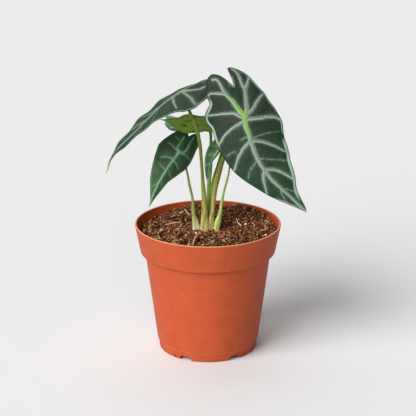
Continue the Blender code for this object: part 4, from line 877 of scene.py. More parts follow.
def expanded_perlite():
    """Perlite, a volcanic glass expanded by heat: chalk-white frothy grains, matt and pitted."""
    made, tree, shader = new_finish("perlite_expanded", Roughness=0.85, IOR=1.5)
    place = node(tree, "TexCoord", out="Object")
    pits = node(tree, "TexVoronoi", {"Vector": place, "Scale": 1 / (0.5 * MM)})
    dress(tree, shader, layered(tree, "#CFC8BC", ("#F1EEE8", pits, 0.1, 0.6)), pits, 0.5, 0.15)
    return made


# The stalks' colours at the foot, in the middle and under the blade, and the colour of their streaks.
# STALK_STREAKS are how many streaks UV_SPAN holds round and along a stalk, so one is 1.2 by 11 mm, and
# STALK_SPECKS is the same for the specks, of 0.9 mm. SCRAP_STREAKS are the fibres' on the dry sheaths.
STALK_STREAKS = (85.0, 9.0, 1.0)
STALK_SPECKS = 110.0
SCRAP_STREAKS = (30.0, 4.0, 1.0)
STALK_LOOKS = {
    "right": ("#CDC27A", "#A0984A", "#4A5E12", "#6A4C26"),
    "left": ("#C2B66C", "#8A8736", "#4E6D16", "#66502A"),
    "back": ("#9FA558", "#7A9438", "#6A982E", "#5A6E26"),
    "behind": ("#96984F", "#7A8536", "#64863A", "#5C642C"),
    "lower_left": ("#D0D0A4", "#88943E", "#546F26", "#6A7638"),
    "small": ("#C2C882", "#A3B45C", "#728E3E", "#7E8C40"),
}


def fleshy_stalk(name, colours):
    """Living aroid stalk, grown: watery green flesh under a smooth satin skin, paler and creamier in
    the soil's shade, with fine streaks and specks along it."""
    made, tree, shader = new_finish(f"living_stalk_satin_{name}", Roughness=0.45, IOR=1.4,
                                    Specular_IOR_Level=0.3, Subsurface_Weight=0.12,
                                    Subsurface_Scale=0.8 * MM, Subsurface_Radius=(0.8, 1.0, 0.35))
    flat = node(tree, "UVMap", uv_map="flat")
    long = node(tree, "Mapping", {"Vector": flat, "Scale": STALK_STREAKS})
    streak = node(tree, "TexNoise", {"Vector": long, "Scale": 1.0, "Detail": 4.0})
    speck = node(tree, "TexNoise", {"Vector": flat, "Scale": STALK_SPECKS, "Detail": 3.0})
    up = node(tree, "Attribute", out="Fac", attribute_name="share_up")
    foot, middle, top, dark = colours
    line = node(tree, "MapRange", (streak, 0.44, 0.66, 0.0, 1.0), **EASED)
    low = node(tree, "MapRange", (up, 0.1, 0.5, 0.85, 0.4), **EASED)
    streaked = node(tree, "Math", (line, low), operation="MULTIPLY")
    colour = layered(tree, foot,
                     (middle, up, 0.0, 0.26),
                     (top, up, 0.2, 0.6),
                     (dark, streaked),
                     (foot, speck, 0.55, 0.68, 0.5),
                     (dark, speck, 0.42, 0.32, 0.5))
    dress(tree, shader, colour, streak, 0.4, 0.15)
    return made


def papery_sheath():
    """Old leaf sheath, dried on the plant: thin red-brown paper with darker fibres along it."""
    made, tree, shader = new_finish("leaf_sheath_dried_papery", Roughness=0.75, IOR=1.4)
    flat = node(tree, "UVMap", uv_map="flat")
    long = node(tree, "Mapping", {"Vector": flat, "Scale": SCRAP_STREAKS})
    streak = node(tree, "TexNoise", {"Vector": long, "Scale": 1.0, "Detail": 4.0})
    dress(tree, shader, layered(tree, "#6A3018", ("#A85C36", streak, 0.35, 0.65)), streak, 0.6, 0.2)
    return made


def wall_inside():
    """The pot wall's inner face from the floor to the lip, as (radius, height)."""
    return [(FOOT_RADIUS - 0.4, FLOOR_TOP), (37.3, 7.2), (46.1, 76.6), (46.8, 77.4), (48.8, 77.9),
            (49.4, 78.9), (53.2, 95.8)]


def pot_profile():
    """The pot's section from the axis under the floor, up the outside, over the lip and down the inside,
    as (radius, height, rounding)."""
    inside = [(radius, height, 0.5) for radius, height in wall_inside()[1:-1]]
    return [
        (0, 0, 0),
        (PAD_RADIUS, 0, 0.5),
        (PAD_RADIUS + 2.2, FLOOR_UNDERSIDE, 0.8),
        (FOOT_RADIUS - WALL, FLOOR_UNDERSIDE, 0.5),
        (FOOT_RADIUS - WALL - 0.4, 0, 0.25),
        (FOOT_RADIUS, 0, 0.5),
        (FOOT_RADIUS + 1.0, 6.6, 0.1),
        (38.5, 7.1, 0.25),
        (47.35, 75.7, 0.5),
        (48.0, 76.2, 0.4),
        (50.7, 76.5, 0.7),
        (51.05, 78.0, 0.7),
        (RIM_RADIUS - 0.25, 96.5, 0.35),
        (RIM_RADIUS, 97.1, 0.3),
        (RIM_RADIUS - 0.15, POT_HEIGHT, 0.75),
        (RIM_RADIUS - 1.5, POT_HEIGHT, 0.75),
        (*wall_inside()[-1], 0.6),
        *reversed(inside),
        (FOOT_RADIUS - 0.4, FLOOR_TOP, 1.5),
        (PAD_RADIUS + 1.6, FLOOR_TOP, 0.8),
        (PAD_RADIUS - 0.6, WALL, 0.5),
        (0, WALL, 0),
    ]


def rounded(profile, steps=5):
    """A profile with its corners rounded: from a point its rounding before each corner to one as far
    after it runs a parabola that keeps to both sides' directions, start (1 - t)^2 + corner 2 t (1 - t)
    + end t^2."""
    at = np.array([row[:2] for row in profile], float)
    rows = [at[0]]
    share = np.linspace(0, 1, steps + 1)[:, None]
    for before, corner, after, row in zip(at, at[1:], at[2:], profile[1:]):
        shorter = min(math.dist(before, corner), math.dist(corner, after))
        reach = min(row[2], CORNER_SHARE * shorter)
        start = corner + reach * unit(before - corner)
        end = corner + reach * unit(after - corner)
        rows.extend(start * (1 - share) ** 2 + corner * 2 * share * (1 - share) + end * share ** 2)
    rows.append(at[-1])
    return np.array(rows)


def split_long(profile, longest):
    """The profile with its long straight runs split into even steps."""
    rows = [profile[:1]]
    for start, end in zip(profile, profile[1:]):
        count = max(1, math.ceil(math.dist(start, end) / longest))
        rows.append(start + (end - start) * (np.arange(1, count + 1) / count)[:, None])
    return np.concatenate(rows)


def turned(profile, columns):
    """Points and faces of a profile turned about Z: radius times the cosine and the sine of the turn, at
    the profile's height. It starts and ends on the axis, at one point each."""
    turn = circle(columns)
    radius, height = profile[1:-1, :1], profile[1:-1, 1:]
    sides = grid_points(radius * np.cos(turn), radius * np.sin(turn), height)
    quads, fans = tube_faces(len(radius), columns)
    ends = [(0, 0, profile[0, 1]), (0, 0, profile[-1, 1])]
    return np.concatenate([sides, ends]), quads.tolist() + fans.tolist()


def turn_to(angle, along, across, height):
    """A point given outwards and sideways from the direction at an angle from the front, in degrees."""
    way = math.radians(angle)
    sine = math.sin(way)
    cosine = math.cos(way)
    return (along * sine + across * cosine, across * sine - along * cosine, height)


def foot_cut(angle, top_width, foot_width, height):
    """A bar across the foot ring, from below the ground up: its section is wider at the foot."""
    slope = (foot_width - top_width) / 2 / height
    low = foot_width / 2 + slope * CUT_BELOW
    high = top_width / 2
    section = [(-low, -CUT_BELOW), (-high, height), (high, height), (low, -CUT_BELOW)]
    radii = (FOOT_RADIUS - CUT_REACH, FOOT_RADIUS + CUT_REACH)
    return tuple([turn_to(angle, radius, across, z) for across, z in section] for radius in radii)


def drain_hole(angle):
    """An upright round bar through the floor."""
    x, y, _ = turn_to(angle, DRAIN_CIRCLE, 0, 0)
    ring = [(x + DRAIN_RADIUS * math.cos(turn), y + DRAIN_RADIUS * math.sin(turn))
            for turn in circle(DRAIN_SIDES)]
    return tuple([(*place, z) for place in ring] for z in (-CUT_BELOW, FLOOR_TOP + CUT_BELOW))


def prisms(outlines):
    """One cutter mesh of bars, each given as two matching rings of points."""
    points = []
    faces = []
    for first, second in outlines:
        base = len(points)
        count = len(first)
        points += [*first, *second]
        faces.append([base + i for i in range(count)])
        faces.append([base + count + i for i in reversed(range(count))])
        for i in range(count):
            j = (i + 1) % count
            faces.append([base + i, base + count + i, base + count + j, base + j])
    mesh = bpy.data.meshes.new("foot_cutter")
    mesh.from_pydata((np.array(points) * MM).tolist(), [], faces)
    return mesh


def make_pot():
    """The pot: a thin wall turned from its rounded section, with notches, slits and drain holes cut."""
    points, faces = turned(split_long(rounded(pot_profile()), POT_RUN), POT_COLUMNS)
    pot = piece("pot_moulded", points, faces, moulded_polypropylene(), ("pot",))
    notch = (NOTCH_TOP_WIDTH, NOTCH_FOOT_WIDTH, NOTCH_HEIGHT)
    bars = [foot_cut(FOOT_TURN + angle, *notch) for angle in NOTCH_ANGLES]
    bars += [foot_cut(FOOT_TURN + angle, SLIT_WIDTH, SLIT_WIDTH, SLIT_HEIGHT) for angle in SLIT_ANGLES]
    bars += [drain_hole(FOOT_TURN + angle) for angle in NOTCH_ANGLES]
    cutter_mesh = prisms(bars)
    outward(cutter_mesh)
    cutter = bpy.data.objects.new("foot_cutter", cutter_mesh)
    bpy.context.scene.collection.objects.link(cutter)
    boolean = pot.modifiers.new("cut", "BOOLEAN")
    boolean.operation = "DIFFERENCE"
    boolean.solver = "EXACT"
    boolean.object = cutter
    bpy.context.view_layer.update()
    cut_mesh = bpy.data.meshes.new_from_object(pot.evaluated_get(bpy.context.evaluated_depsgraph_get()))
    pot.modifiers.clear()
    pot.data = cut_mesh
    cut_mesh.shade_smooth()
    cut_mesh.set_sharp_from_angle(angle=math.radians(POT_CREASE))
    bpy.data.objects.remove(cutter)


def soil_height(x, y):
    """The soil's top: sunk to the left, raised at the back, lumpy, and nearly level at the crown. Both
    slopes grow evenly with the distance along their ways and set in outside the crown."""
    away = np.clip((np.hypot(x, y) - CROWN_FLAT) / CROWN_SLOPE, 0, 1)
    sink = SINK_DEPTH * np.maximum(0, SINK_WAY[0] * x + SINK_WAY[1] * y) / RIM_RADIUS
    rise = RISE_HEIGHT * np.maximum(0, RISE_WAY[0] * x + RISE_WAY[1] * y) / RIM_RADIUS
    lump = mixed_bumps(np.stack([x, y], axis=-1), SOIL_LUMPS, SEED)
    return SOIL_LEVEL + away * (rise - sink) + (CALM + (1 - CALM) * away) * lump


def make_bed():
    """The soil's body: the pot's inner section turned, under a top of rings whose heights follow the
    soil's lumps, with three sizes of crumb noise on it. Where it rises it spreads with the flaring wall."""
    side = np.array(wall_inside()) + (-GAP, GAP)
    brim = SOIL_LEVEL - BRIM_DROP
    share = (brim - side[-2, 1]) / (side[-1, 1] - side[-2, 1])
    brim_radius = side[-2, 0] + share * (side[-1, 0] - side[-2, 0])
    side[-1] = (brim_radius, brim)
    base = [(0, WALL + GAP), (PAD_RADIUS - 1.0, WALL + GAP), (PAD_RADIUS + 1.2, FLOOR_TOP + GAP)]
    radii = (brim_radius - BED_INSET) * np.sqrt(np.linspace(1, BED_MIDDLE, BED_RINGS))
    top = np.stack([radii, np.full_like(radii, SOIL_LEVEL)], axis=1)
    profile = np.concatenate([base, side, top, [(0, SOIL_LEVEL)]])
    points, faces = turned(profile, BED_COLUMNS)
    upper = points[:, 2] > SOIL_LEVEL - GRIT_SINK
    place = points[upper]
    grit = mixed_bumps(place, SOIL_GRIT, GRIT_SEED)
    lift = soil_height(place[:, 0], place[:, 1]) - GRIT_SINK + grit
    far = np.hypot(place[:, 0], place[:, 1]) / brim_radius
    points[upper, :2] *= (1 + BRIM_FLARE / RIM_RADIUS * np.maximum(0, lift - SOIL_LEVEL) * far**2)[:, None]
    points[upper, 2] = lift
    under, level, paler = BED_TONES
    tone = np.full(len(points), under)
    tone[upper] = np.clip(level + paler * grit, 0, 1)
    finish = crumbly("potting_mix_coco_and_peat", "#140904", "#3E2213", "#7A4C2A", 0.8)
    piece("soil_bed", points, faces, finish, ("soil",), {"tone": tone})
    return brim_radius


def turns_of(random, count):
    """Random rotations as matrices, from four normal numbers each as a unit quaternion."""
    w, x, y, z = unit(random.normal(size=(count, 4))).T
    rows = [1 - 2 * (y * y + z * z), 2 * (x * y - z * w), 2 * (x * z + y * w),
            2 * (x * y + z * w), 1 - 2 * (x * x + z * z), 2 * (y * z - x * w),
            2 * (x * z - y * w), 2 * (y * z + x * w), 1 - 2 * (x * x + y * y)]
    return np.stack(rows, axis=-1).reshape(-1, 3, 3)


def ball():
    """A ball of twenty triangles: its twelve corners are those of three golden rectangles."""
    golden = (1 + math.sqrt(5)) / 2
    ends = [(a, b * golden) for a in (-1, 1) for b in (-1, 1)]
    points = [(0, a, b) for a, b in ends] + [(a, b, 0) for a, b in ends] + [(b, 0, a) for a, b in ends]
    points = np.array(points, float)
    far = np.linalg.norm(points[:, None] - points[None], axis=2)
    near = np.abs(far - 2) < 0.01
    faces = []
    for a, b, c in combinations(range(len(points)), 3):
        if near[a, b] and near[b, c] and near[a, c]:
            normal = np.cross(points[b] - points[a], points[c] - points[a])
            faces.append((a, b, c) if normal @ points[a] > 0 else (a, c, b))
    return points / np.linalg.norm(points[0]), np.array(faces)


def stone():
    """A blunt stone of eight triangles: one point on each side of the three axes."""
    points = np.concatenate([np.eye(3), -np.eye(3)])
    faces = np.array([(0, 1, 2), (1, 3, 2), (3, 4, 2), (4, 0, 2),
                      (1, 0, 5), (3, 1, 5), (4, 3, 5), (0, 4, 5)])
    return points, faces


def scatter(random, count, reach, clear=1.5):
    """Random places on the soil, evenly over its round, clear of the stalks' feet: the radius is reach
    times the root of an even random number."""
    turn = random.uniform(0, 2 * np.pi, 3 * count)
    far = reach * np.sqrt(random.uniform(0, 1, 3 * count))
    at = np.stack([far * np.cos(turn), far * np.sin(turn)], axis=1)
    feet = np.array([stalk["foot"][:2] for stalk in STALKS.values()])
    free = np.linalg.norm(at[:, None] - feet[None], axis=2).min(axis=1) > clear
    return at[free][:count]


def lumps(name, random, at, sizes, stretch, rise, tones, finish, dent=0.22, form=ball):
    """Many small lumps on the soil. Each corner of a ball or a stone is stretched along three axes, moved
    in or out by up to dent of its distance, turned at random and grown to the lump's size, and the whole
    lump is lifted off the soil by rise times its size."""
    corner, faces = form()
    count = len(at)
    each = len(corner)
    shaped = corner * stretch[:, None, :] * (1 + random.uniform(-dent, dent, (count, each, 1)))
    shaped = np.einsum("nij,nkj->nki", turns_of(random, count), shaped) * sizes[:, None, None]
    height = soil_height(at[:, 0], at[:, 1]) - LUMP_SINK + rise * sizes
    shaped += np.concatenate([at, height[:, None]], axis=1)[:, None, :]
    every = (faces[None] + each * np.arange(count)[:, None, None]).reshape(-1, 3)
    piece(name, shaped.reshape(-1, 3), every.tolist(), finish, (),
          {"tone": np.repeat(tones, each)}, crease=LUMP_CREASE)


def strands(name, paths, radii, tones, finish, sides=4):
    """Fine strands: rings of a few points carried along each path, closed by a point at each end. paths
    has every strand's points, as many for each, and a ring's radius falls to both ends with the root of
    a sine."""
    count, steps, _ = paths.shape
    forward = unit(np.gradient(paths, axis=1))
    aside = unit(np.cross(forward, (0, 0, 1)) + 1e-6)
    up = np.cross(aside, forward)
    turn = circle(sides)
    narrowing = np.sin(np.linspace(*STRAND_SPAN, steps) * np.pi) ** 0.5
    width = radii[:, None, None, None] * narrowing[None, :, None, None]
    ring = np.cos(turn)[:, None] * aside[:, :, None] + np.sin(turn)[:, None] * up[:, :, None]
    points = (paths[:, :, None] + width * ring).reshape(count, -1, 3)
    ends = (paths[:, :1] - STRAND_TIP * forward[:, :1], paths[:, -1:] + STRAND_TIP * forward[:, -1:])
    points = np.concatenate([points, *ends], axis=1)
    each = points.shape[1]
    shift = each * np.arange(count)[:, None, None]
    quads, fans = (part[None] + shift for part in tube_faces(steps, sides))
    faces = quads.reshape(-1, 4).tolist() + fans.reshape(-1, 3).tolist()
    piece(name, points.reshape(-1, 3), faces, finish, (), {"tone": np.repeat(tones, each)})


def make_soil_top(reach):
    """Crumbs, bark chips, coir strands and perlite on the bed. The logarithms of the crumbs' and the
    chips' sizes follow a bell curve, and the tones are even random numbers, some raised to a power."""
    random = np.random.default_rng(SEED)
    at = scatter(random, CRUMB_COUNT, reach - 0.6)
    sizes = np.clip(random.lognormal(-0.55, 0.4, len(at)), 0.3, 1.5)
    tones = random.uniform(0, 1, len(at)) ** 1.1
    stretch = random.uniform(0.4, 1.15, (len(at), 3))
    stretch[:, 0] *= random.uniform(1, 2.4, len(at))
    finish = crumbly("potting_mix_coco_crumb", "#230F07", "#935731", "#D2A87C", 0.7)
    rise = random.uniform(-0.7, 1.6, len(at))
    lumps("soil_crumbs", random, at, sizes, stretch, rise, tones, finish, 0.3)
    at = scatter(random, DUST_COUNT, reach - 0.3)
    sizes = random.uniform(0.18, 0.45, len(at))
    tones = random.uniform(0, 1, len(at)) ** 1.4
    stretch = random.uniform(0.5, 1.6, (len(at), 3))
    rise = random.uniform(0.6, 3.6, len(at))
    lumps("soil_fine_crumbs", random, at, sizes, stretch, rise, tones, finish, 0.3, stone)
    at = scatter(random, CHIP_COUNT, reach - 3)
    sizes = np.clip(random.lognormal(-0.08, 0.35, len(at)), 0.5, 1.9)
    stretch = np.stack([random.uniform(1.1, 1.8, len(at)), random.uniform(0.5, 0.9, len(at)),
                        random.uniform(0.25, 0.45, len(at))], axis=1)
    finish = crumbly("pine_bark_chipped", "#2E140A", "#7E4226", "#AE7048", 0.5)
    lumps("soil_bark_chips", random, at, sizes, stretch, random.uniform(0.4, 1.0, len(at)),
          random.uniform(0.1, 1, len(at)), finish, 0.12)
    at = np.array(PLACED_GRAINS)
    sizes = random.uniform(0.6, 1.0, len(at))
    stretch = random.uniform(0.7, 1.2, (len(at), 3))
    lumps("soil_perlite", random, at, sizes, stretch, np.full(len(at), 1.9), np.ones(len(at)),
          expanded_perlite())
    make_fibres(random, reach)
    make_curled_strands()


def make_fibres(random, reach):
    """Coir: each strand is an arc, whose heading changes evenly along it, of a random length, bend and
    way on the soil, lifted in its middle."""
    start = scatter(random, FIBRE_COUNT, reach - 6, 4.0)
    count = len(start)
    length = random.uniform(1.2, 3.0, count) ** 1.9
    way = random.uniform(0, 2 * np.pi, count)
    bend = random.normal(0, 1.1, count)
    share = np.linspace(-0.5, 0.5, FIBRE_STEPS)
    angle = way[:, None] + bend[:, None] * share
    step = (length / (FIBRE_STEPS - 1))[:, None, None] * np.stack([np.cos(angle), np.sin(angle)], axis=2)
    flat = start[:, None] + np.cumsum(step, axis=1) - step.sum(axis=1, keepdims=True) / 2
    far = np.linalg.norm(flat, axis=2, keepdims=True)
    flat *= np.minimum(1, (reach - 1.5) / far)
    lift = random.uniform(0.3, 1.0, count)[:, None]
    lift = lift + random.uniform(-0.3, 1.0, count)[:, None] * (0.25 - share**2)
    lift = lift + random.normal(0, 0.8, count)[:, None] * share
    height = soil_height(flat[..., 0], flat[..., 1]) + lift
    paths = np.concatenate([flat, height[..., None]], axis=2)
    finish = crumbly("coconut_coir_retted", "#2E150A", "#8E5C38", "#E2C8A0", 0.6)
    tones = random.uniform(0, 1, count) ** 1.4
    strands("soil_coir_strands", paths, random.uniform(0.1, 0.36, count), tones, finish)


def make_curled_strands():
    """The few thick strands that lie singly on the soil, along smooth curves through their points."""
    paths = []
    for points in CURLED_STRANDS:
        path = even_curve(points, 0.1)
        path = path[np.linspace(0, len(path) - 1, STRAND_STEPS).astype(int)]
        path[:, 2] += soil_height(path[:, 0], path[:, 1]) + STRAND_RISE
        paths.append(path)
    finish = crumbly("bark_fibre_curled", "#5A2816", "#C67C46", "#E6D8B4", 0.6)
    strands("soil_curled_strands", np.array(paths), np.array(STRAND_RADII), np.array(STRAND_TONES), finish,
            STRAND_SIDES)


class Blade:
    """One leaf blade: its outline and veins on a flat plan, and the surface that bends them into place."""

    def __init__(self, values):
        """Puts the midrib's line by its length from the junction, and the outline both by the turn about
        the junction and as fine curves of the two halves. Lists with one row hold along the whole line."""
        self.values = values = {**USUAL_BLADE, **values}
        self.spine = np.array(values["spine"], float)
        self.along = running_length(self.spine)
        self.along -= self.along[values["junction"]]
        self.facing, self.fold, self.curl = (
            np.broadcast_to(np.array(values[name], float), (len(self.spine), len(values[name][0])))
            for name in ("facing", "fold", "curl"))
        plus = [*values["plus"], values["notch"]]
        minus = [values["plus"][0], *values["minus"], values["notch"]]
        step = values["edge_step"]
        coarse = np.concatenate([even_curve(plus, step)[:-1], even_curve(minus[::-1], step)[:-1]])
        turns = np.arctan2(coarse[:, 1], coarse[:, 0])
        order = np.argsort(turns)
        self.turns = turns[order]
        self.reach = np.hypot(coarse[:, 0], coarse[:, 1])[order]
        self.halves = (even_curve(plus, CELL / 4), even_curve(minus, CELL / 4))

    def edge_share(self, u, v):
        """How far out a point lies, from 0 at the junction to 1 on the edge."""
        reach = np.interp(np.arctan2(v, u), self.turns, self.reach, period=2 * math.pi)
        return np.clip(np.hypot(u, v) / reach, 0, 1)

    def inside(self, u):
        """The nearest value of u that the midrib's line has."""
        return np.clip(u, self.along[0], self.along[-1])

    def axes(self, u):
        """The midrib line's place, the upper face's direction and the way across, at u. Past its ends the
        line goes straight on."""
        inside = self.inside(u)
        behind, place, ahead = (through(self.along, self.spine, self.inside(inside + step))
                                for step in (-AXIS_STEP, 0, AXIS_STEP))
        forward = unit(ahead - behind)
        upper = through(self.along, self.facing, inside)
        upper = unit(upper - (upper * forward).sum(axis=-1, keepdims=True) * forward)
        return place + forward * (u - inside)[..., None], upper, np.cross(forward, upper)

    def place(self, u, v):
        """Where a point of the flat blade lies. It goes out from the midrib by v at a slope of its half's
        fold, plus half its curl times v over half_width. The edge's wave is a sine of u, times its height
        and the square of the edge's share, and it fades to nothing at the midrib."""
        at, upper, across = self.axes(u)
        side = (v > 0).astype(int)[..., None]
        fold, curl = (np.take_along_axis(through(self.along, angles, self.inside(u)), side, -1)[..., 0]
                      for angles in (self.fold, self.curl))
        far = np.abs(v)
        slope = np.radians(fold + 0.5 * curl * far / self.values["half_width"])
        height, length, start = self.values["wave"]
        phase = 2 * math.pi * u / length + start + WAVE_SHIFT * np.sign(v)
        wave = height * self.edge_share(u, v) ** 2 * np.sin(phase) * np.clip(far / FLAT_HALF, 0, 1)
        rise = wave - far * np.sin(slope)
        return at + across * (np.sign(v) * far * np.cos(slope))[..., None] + upper * rise[..., None]

    def normal(self, u, v):
        """The upper face's direction, square to the lines between the places a step to each side."""
        along = self.place(u + NORMAL_STEP, v) - self.place(u - NORMAL_STEP, v)
        across = self.place(u, v + NORMAL_STEP) - self.place(u, v - NORMAL_STEP)
        return unit(np.cross(across, along))

    def half_grid(self, edge, rows):
        """Lines from the midrib out to the edge, each at even steps. Its foot goes from the tip down
        the midrib to the junction, where it stays while its end goes round the lobe to the notch."""
        length = running_length(edge)
        lead = np.minimum.accumulate(edge[:, 0] - LEAN * np.abs(edge[:, 1]))
        turn = np.searchsorted(-lead, 0)
        front = round(length[turn] / CELL)
        foot_u = lead[0] * np.linspace(1, 0, front)
        meets = np.interp(-foot_u, -lead[:turn + 1], length[:turn + 1])
        meets[0] = 0.0
        fan = round((length[-1] - length[turn]) / CELL)
        meets = np.concatenate([meets, np.linspace(length[turn], length[-1], fan + 1)[1:]])
        foot_u = np.concatenate([foot_u, np.zeros(fan)])
        ends = np.stack([np.interp(meets, length, edge[:, k]) for k in (0, 1)], axis=1)
        feet = np.stack([foot_u, np.zeros_like(foot_u)], axis=1)
        share = np.linspace(0, 1, rows)[None, :, None]
        return feet[:, None] * (1 - share) + ends[:, None] * share

    def book(self):
        """The flat grid of both halves, joined along the midrib: points, cells and the edge's loop."""
        widest = max(np.abs(half[:, 1]).max() for half in self.halves)
        rows = round(widest / CELL) + 1
        fronts = [self.half_grid(edge, rows) for edge in self.halves]
        count = max(np.count_nonzero(grid[:, 0, 0] > ON_JUNCTION) for grid in fronts)
        grids = [self.matched(grid, edge, count) for grid, edge in zip(fronts, self.halves)]
        lines, others = (len(grid) for grid in grids)
        cells = [sheet_quads(lines, rows)[:, ::-1], lines * rows + sheet_quads(others, rows)]
        every = np.concatenate([grid.reshape(-1, 2) for grid in grids])
        _, kept, joined = np.unique(np.round(every, 4), axis=0, return_index=True, return_inverse=True)
        joined = joined.ravel()
        outer = np.arange(lines) * rows + rows - 1
        inner = (lines + np.arange(others)) * rows + rows - 1
        loop = joined[np.concatenate([outer, inner[::-1][1:-1]])]
        return every[kept], joined[np.concatenate(cells)], loop

    def matched(self, grid, edge, count):
        """The half's grid with the given count of lines along the midrib, so that both halves meet."""
        rows = grid.shape[1]
        front = np.count_nonzero(grid[:, 0, 0] > ON_JUNCTION)
        foot_u = edge[0, 0] * np.linspace(1, 0, count + 1)[:-1]
        old = grid[front::-1]
        ends = [np.interp(foot_u, old[:, 0, 0], old[:, -1, k]) for k in (0, 1)]
        share = np.linspace(0, 1, rows)[None, :, None]
        feet = np.stack([foot_u, np.zeros(count)], axis=1)
        new = feet[:, None] * (1 - share) + np.stack(ends, axis=1)[:, None] * share
        new[0] = edge[0]
        return np.concatenate([new, grid[front:]])

    def vein_fields(self, flat):
        """For each flat point: how far it lies outside the nearest vein's side, how far from that vein's
        middle and from its painted highlight line beside the middle, how green the vein is there, and how
        high its rib stands below. A vein narrows with a power of the share of its length, and its rib is a
        bell curve that sinks as it goes. The green fades evenly with the distance from the junction.
        Thin veins have neither a groove along their middle nor a painted highlight line."""
        main, side = self.values["vein_scale"]
        rows = [(points, MAIN_VEIN, main, reach, MAIN_RIB) for reach, points in self.values["main"]]
        rows += [(points, SIDE_VEIN, side, SIDE_HEART, SIDE_RIB) for points in self.values["side"]]
        rows += [(points, THIN_VEIN, side, THIN_HEART, THIN_RIB) for points in self.values["thin"]]
        gap, middle, light = np.full((3, len(flat)), NO_VEIN)
        heart, rib = np.zeros((2, len(flat)))
        for points, (wide, narrow), scale, reach, height in rows:
            line = even_curve(points, 1.0)
            start = line[:-1]
            step = line[1:] - start
            share = ((flat[:, None] - start) * step).sum(axis=2) / (step**2).sum(axis=1)
            share = np.clip(share, 0, 1)
            far = np.linalg.norm(flat[:, None] - start - share[..., None] * step, axis=2)
            nearest = far.argmin(axis=1)
            way = unit(step)[nearest]
            off = flat - start[nearest]
            beside = np.sign(step[nearest, 0]) * (way[:, 0] * off[:, 1] - way[:, 1] * off[:, 0])
            far = far.min(axis=1)
            done = (nearest + share[np.arange(len(flat)), nearest]) / len(step)
            half = scale * (wide + (narrow - wide) * done**VEIN_TAPER)
            lined = wide > THIN_VEIN[0]
            closer = far - half < gap
            gap = np.where(closer, far - half, gap)
            middle = np.where(closer, far if lined else NO_VEIN, middle)
            # The painted highlight line lies to one side of the vein's middle
            line_gap = np.abs(beside - HIGHLIGHT_OFF * half) / scale
            light = np.where(closer, line_gap if lined else NO_VEIN, light)
            green = np.clip(HEART_START - np.hypot(flat[:, 0], flat[:, 1]) / reach, 0, 1)
            heart = np.where(closer, green, heart)
            spread = RIB_SPREAD[0] * half + RIB_SPREAD[1]
            ridge = height * scale * (1 - RIB_SINK * done) * np.exp(-(far / spread) ** 2)
            rib = np.maximum(rib, ridge)
        return gap, middle, light, heart, rib

    def edge_distance(self, flat):
        """The distance from each flat point to the blade's edge, worked out for a batch at a time."""
        edge = np.concatenate([half[::4] for half in self.halves])
        parts = [np.hypot(*(part[:, None] - edge).transpose(2, 0, 1)).min(axis=1)
                 for part in np.array_split(flat, max(1, len(flat) // BATCH))]
        return np.concatenate(parts)

    def surface(self):
        """The blade's points, faces and what its finish reads. The middle surface has fine ruffles near
        its edge; the upper face lies half a thickness above it and swells between the veins, and the
        underside lies as far below, with a rounded rib under each vein. The swelling is one less a bell
        curve of the gap to the vein, and the groove over a vein is a bell curve itself."""
        flat, quads, loop = self.book()
        u, v = flat.T
        gap, centre, light, heart, rib = self.vein_fields(flat)
        edge = self.edge_distance(flat)
        upper = self.normal(u, v)
        ruffle = RUFFLE * bumps(flat, RUFFLE_SIZE, SEED) * self.edge_share(u, v) ** 3
        swell = BULGE * (1 - np.exp(-(np.maximum(gap, 0) / QUILT) ** 2)) * smooth(0, BULGE_EDGE, edge)
        swell += PUCKER * bumps(flat, PUCKER_SIZE, PUCKER_SEED) * smooth(0, PUCKER_EDGE, edge)
        groove = GROOVE * np.exp(-(centre / GROOVE_WIDTH) ** 2)
        half = EDGE_HALF_THICK + (HALF_THICK - EDGE_HALF_THICK) * smooth(0, THIN_EDGE, edge)
        middle = self.place(u, v) + upper * ruffle[:, None]
        top = middle + upper * (half + swell - groove)[:, None]
        below = middle + upper * (BULGE_BELOW * swell - half - rib)[:, None]
        out = unit(middle[loop] - self.place(*(flat[loop] * NEARER).T))
        rim = middle[loop] + out * EDGE_HALF_THICK * EDGE_ROUND
        count = len(flat)
        after = np.roll(loop, -1)
        rim_at = 2 * count + np.arange(len(loop))
        rim_next = np.roll(rim_at, -1)
        bands = np.concatenate([np.stack([loop, after, rim_next, rim_at], axis=1),
                                np.stack([rim_at, rim_next, count + after, count + loop], axis=1)])
        faces = corners(np.concatenate([quads, count + quads[:, ::-1], bands]))
        every = np.concatenate([np.arange(count), np.arange(count), loop])
        fields = {"vein_gap": gap, "vein_highlight": light, "heart": heart, "edge_gap": edge,
                  "fresh": self.freshness(u, v), "rim": self.rim_share(u, v, edge),
                  "dried": self.dried_share(u)}
        fields = {label: values[every] for label, values in fields.items()}
        fields["upper"] = np.repeat((1.0, 0.0, 0.5), (count, count, len(loop)))
        return np.concatenate([top, below, rim]), faces, fields, flat[every] / UV_SPAN + 0.5

    def freshness(self, u, v):
        """How green the face is, from 0 to 1: more towards the tip and, past the lobes, the margins."""
        tip = TIP_FRESH * smooth(*TIP_SPAN, u)
        margin = MARGIN_FRESH * self.edge_share(u, v) ** 2 * smooth(*MARGIN_SPAN, u)
        return np.clip(self.values["freshness"] + tip + margin, 0, MOST_FRESH)

    def rim_share(self, u, v, edge):
        """How pale the blade is inside its edge, partly the marginal vein's own colour and partly a painted
        highlight: each stretch has a half, a start, an end and a width.
        """
        share = np.zeros(len(u))
        outer, deeper = RIM_SOFT
        for half, start, end, width in self.values["pale_rim_and_highlight"]:
            fade = min(RIM_FADE, (end - start) / 2)
            along = smooth(start, start + fade, u) * smooth(end, end - fade, u)
            inner = RIM_DARK + width
            band = smooth(RIM_DARK, RIM_DARK + outer, edge) * smooth(inner + deeper, inner, edge)
            share = np.maximum(share, along * band * (np.sign(v) == half))
        return share

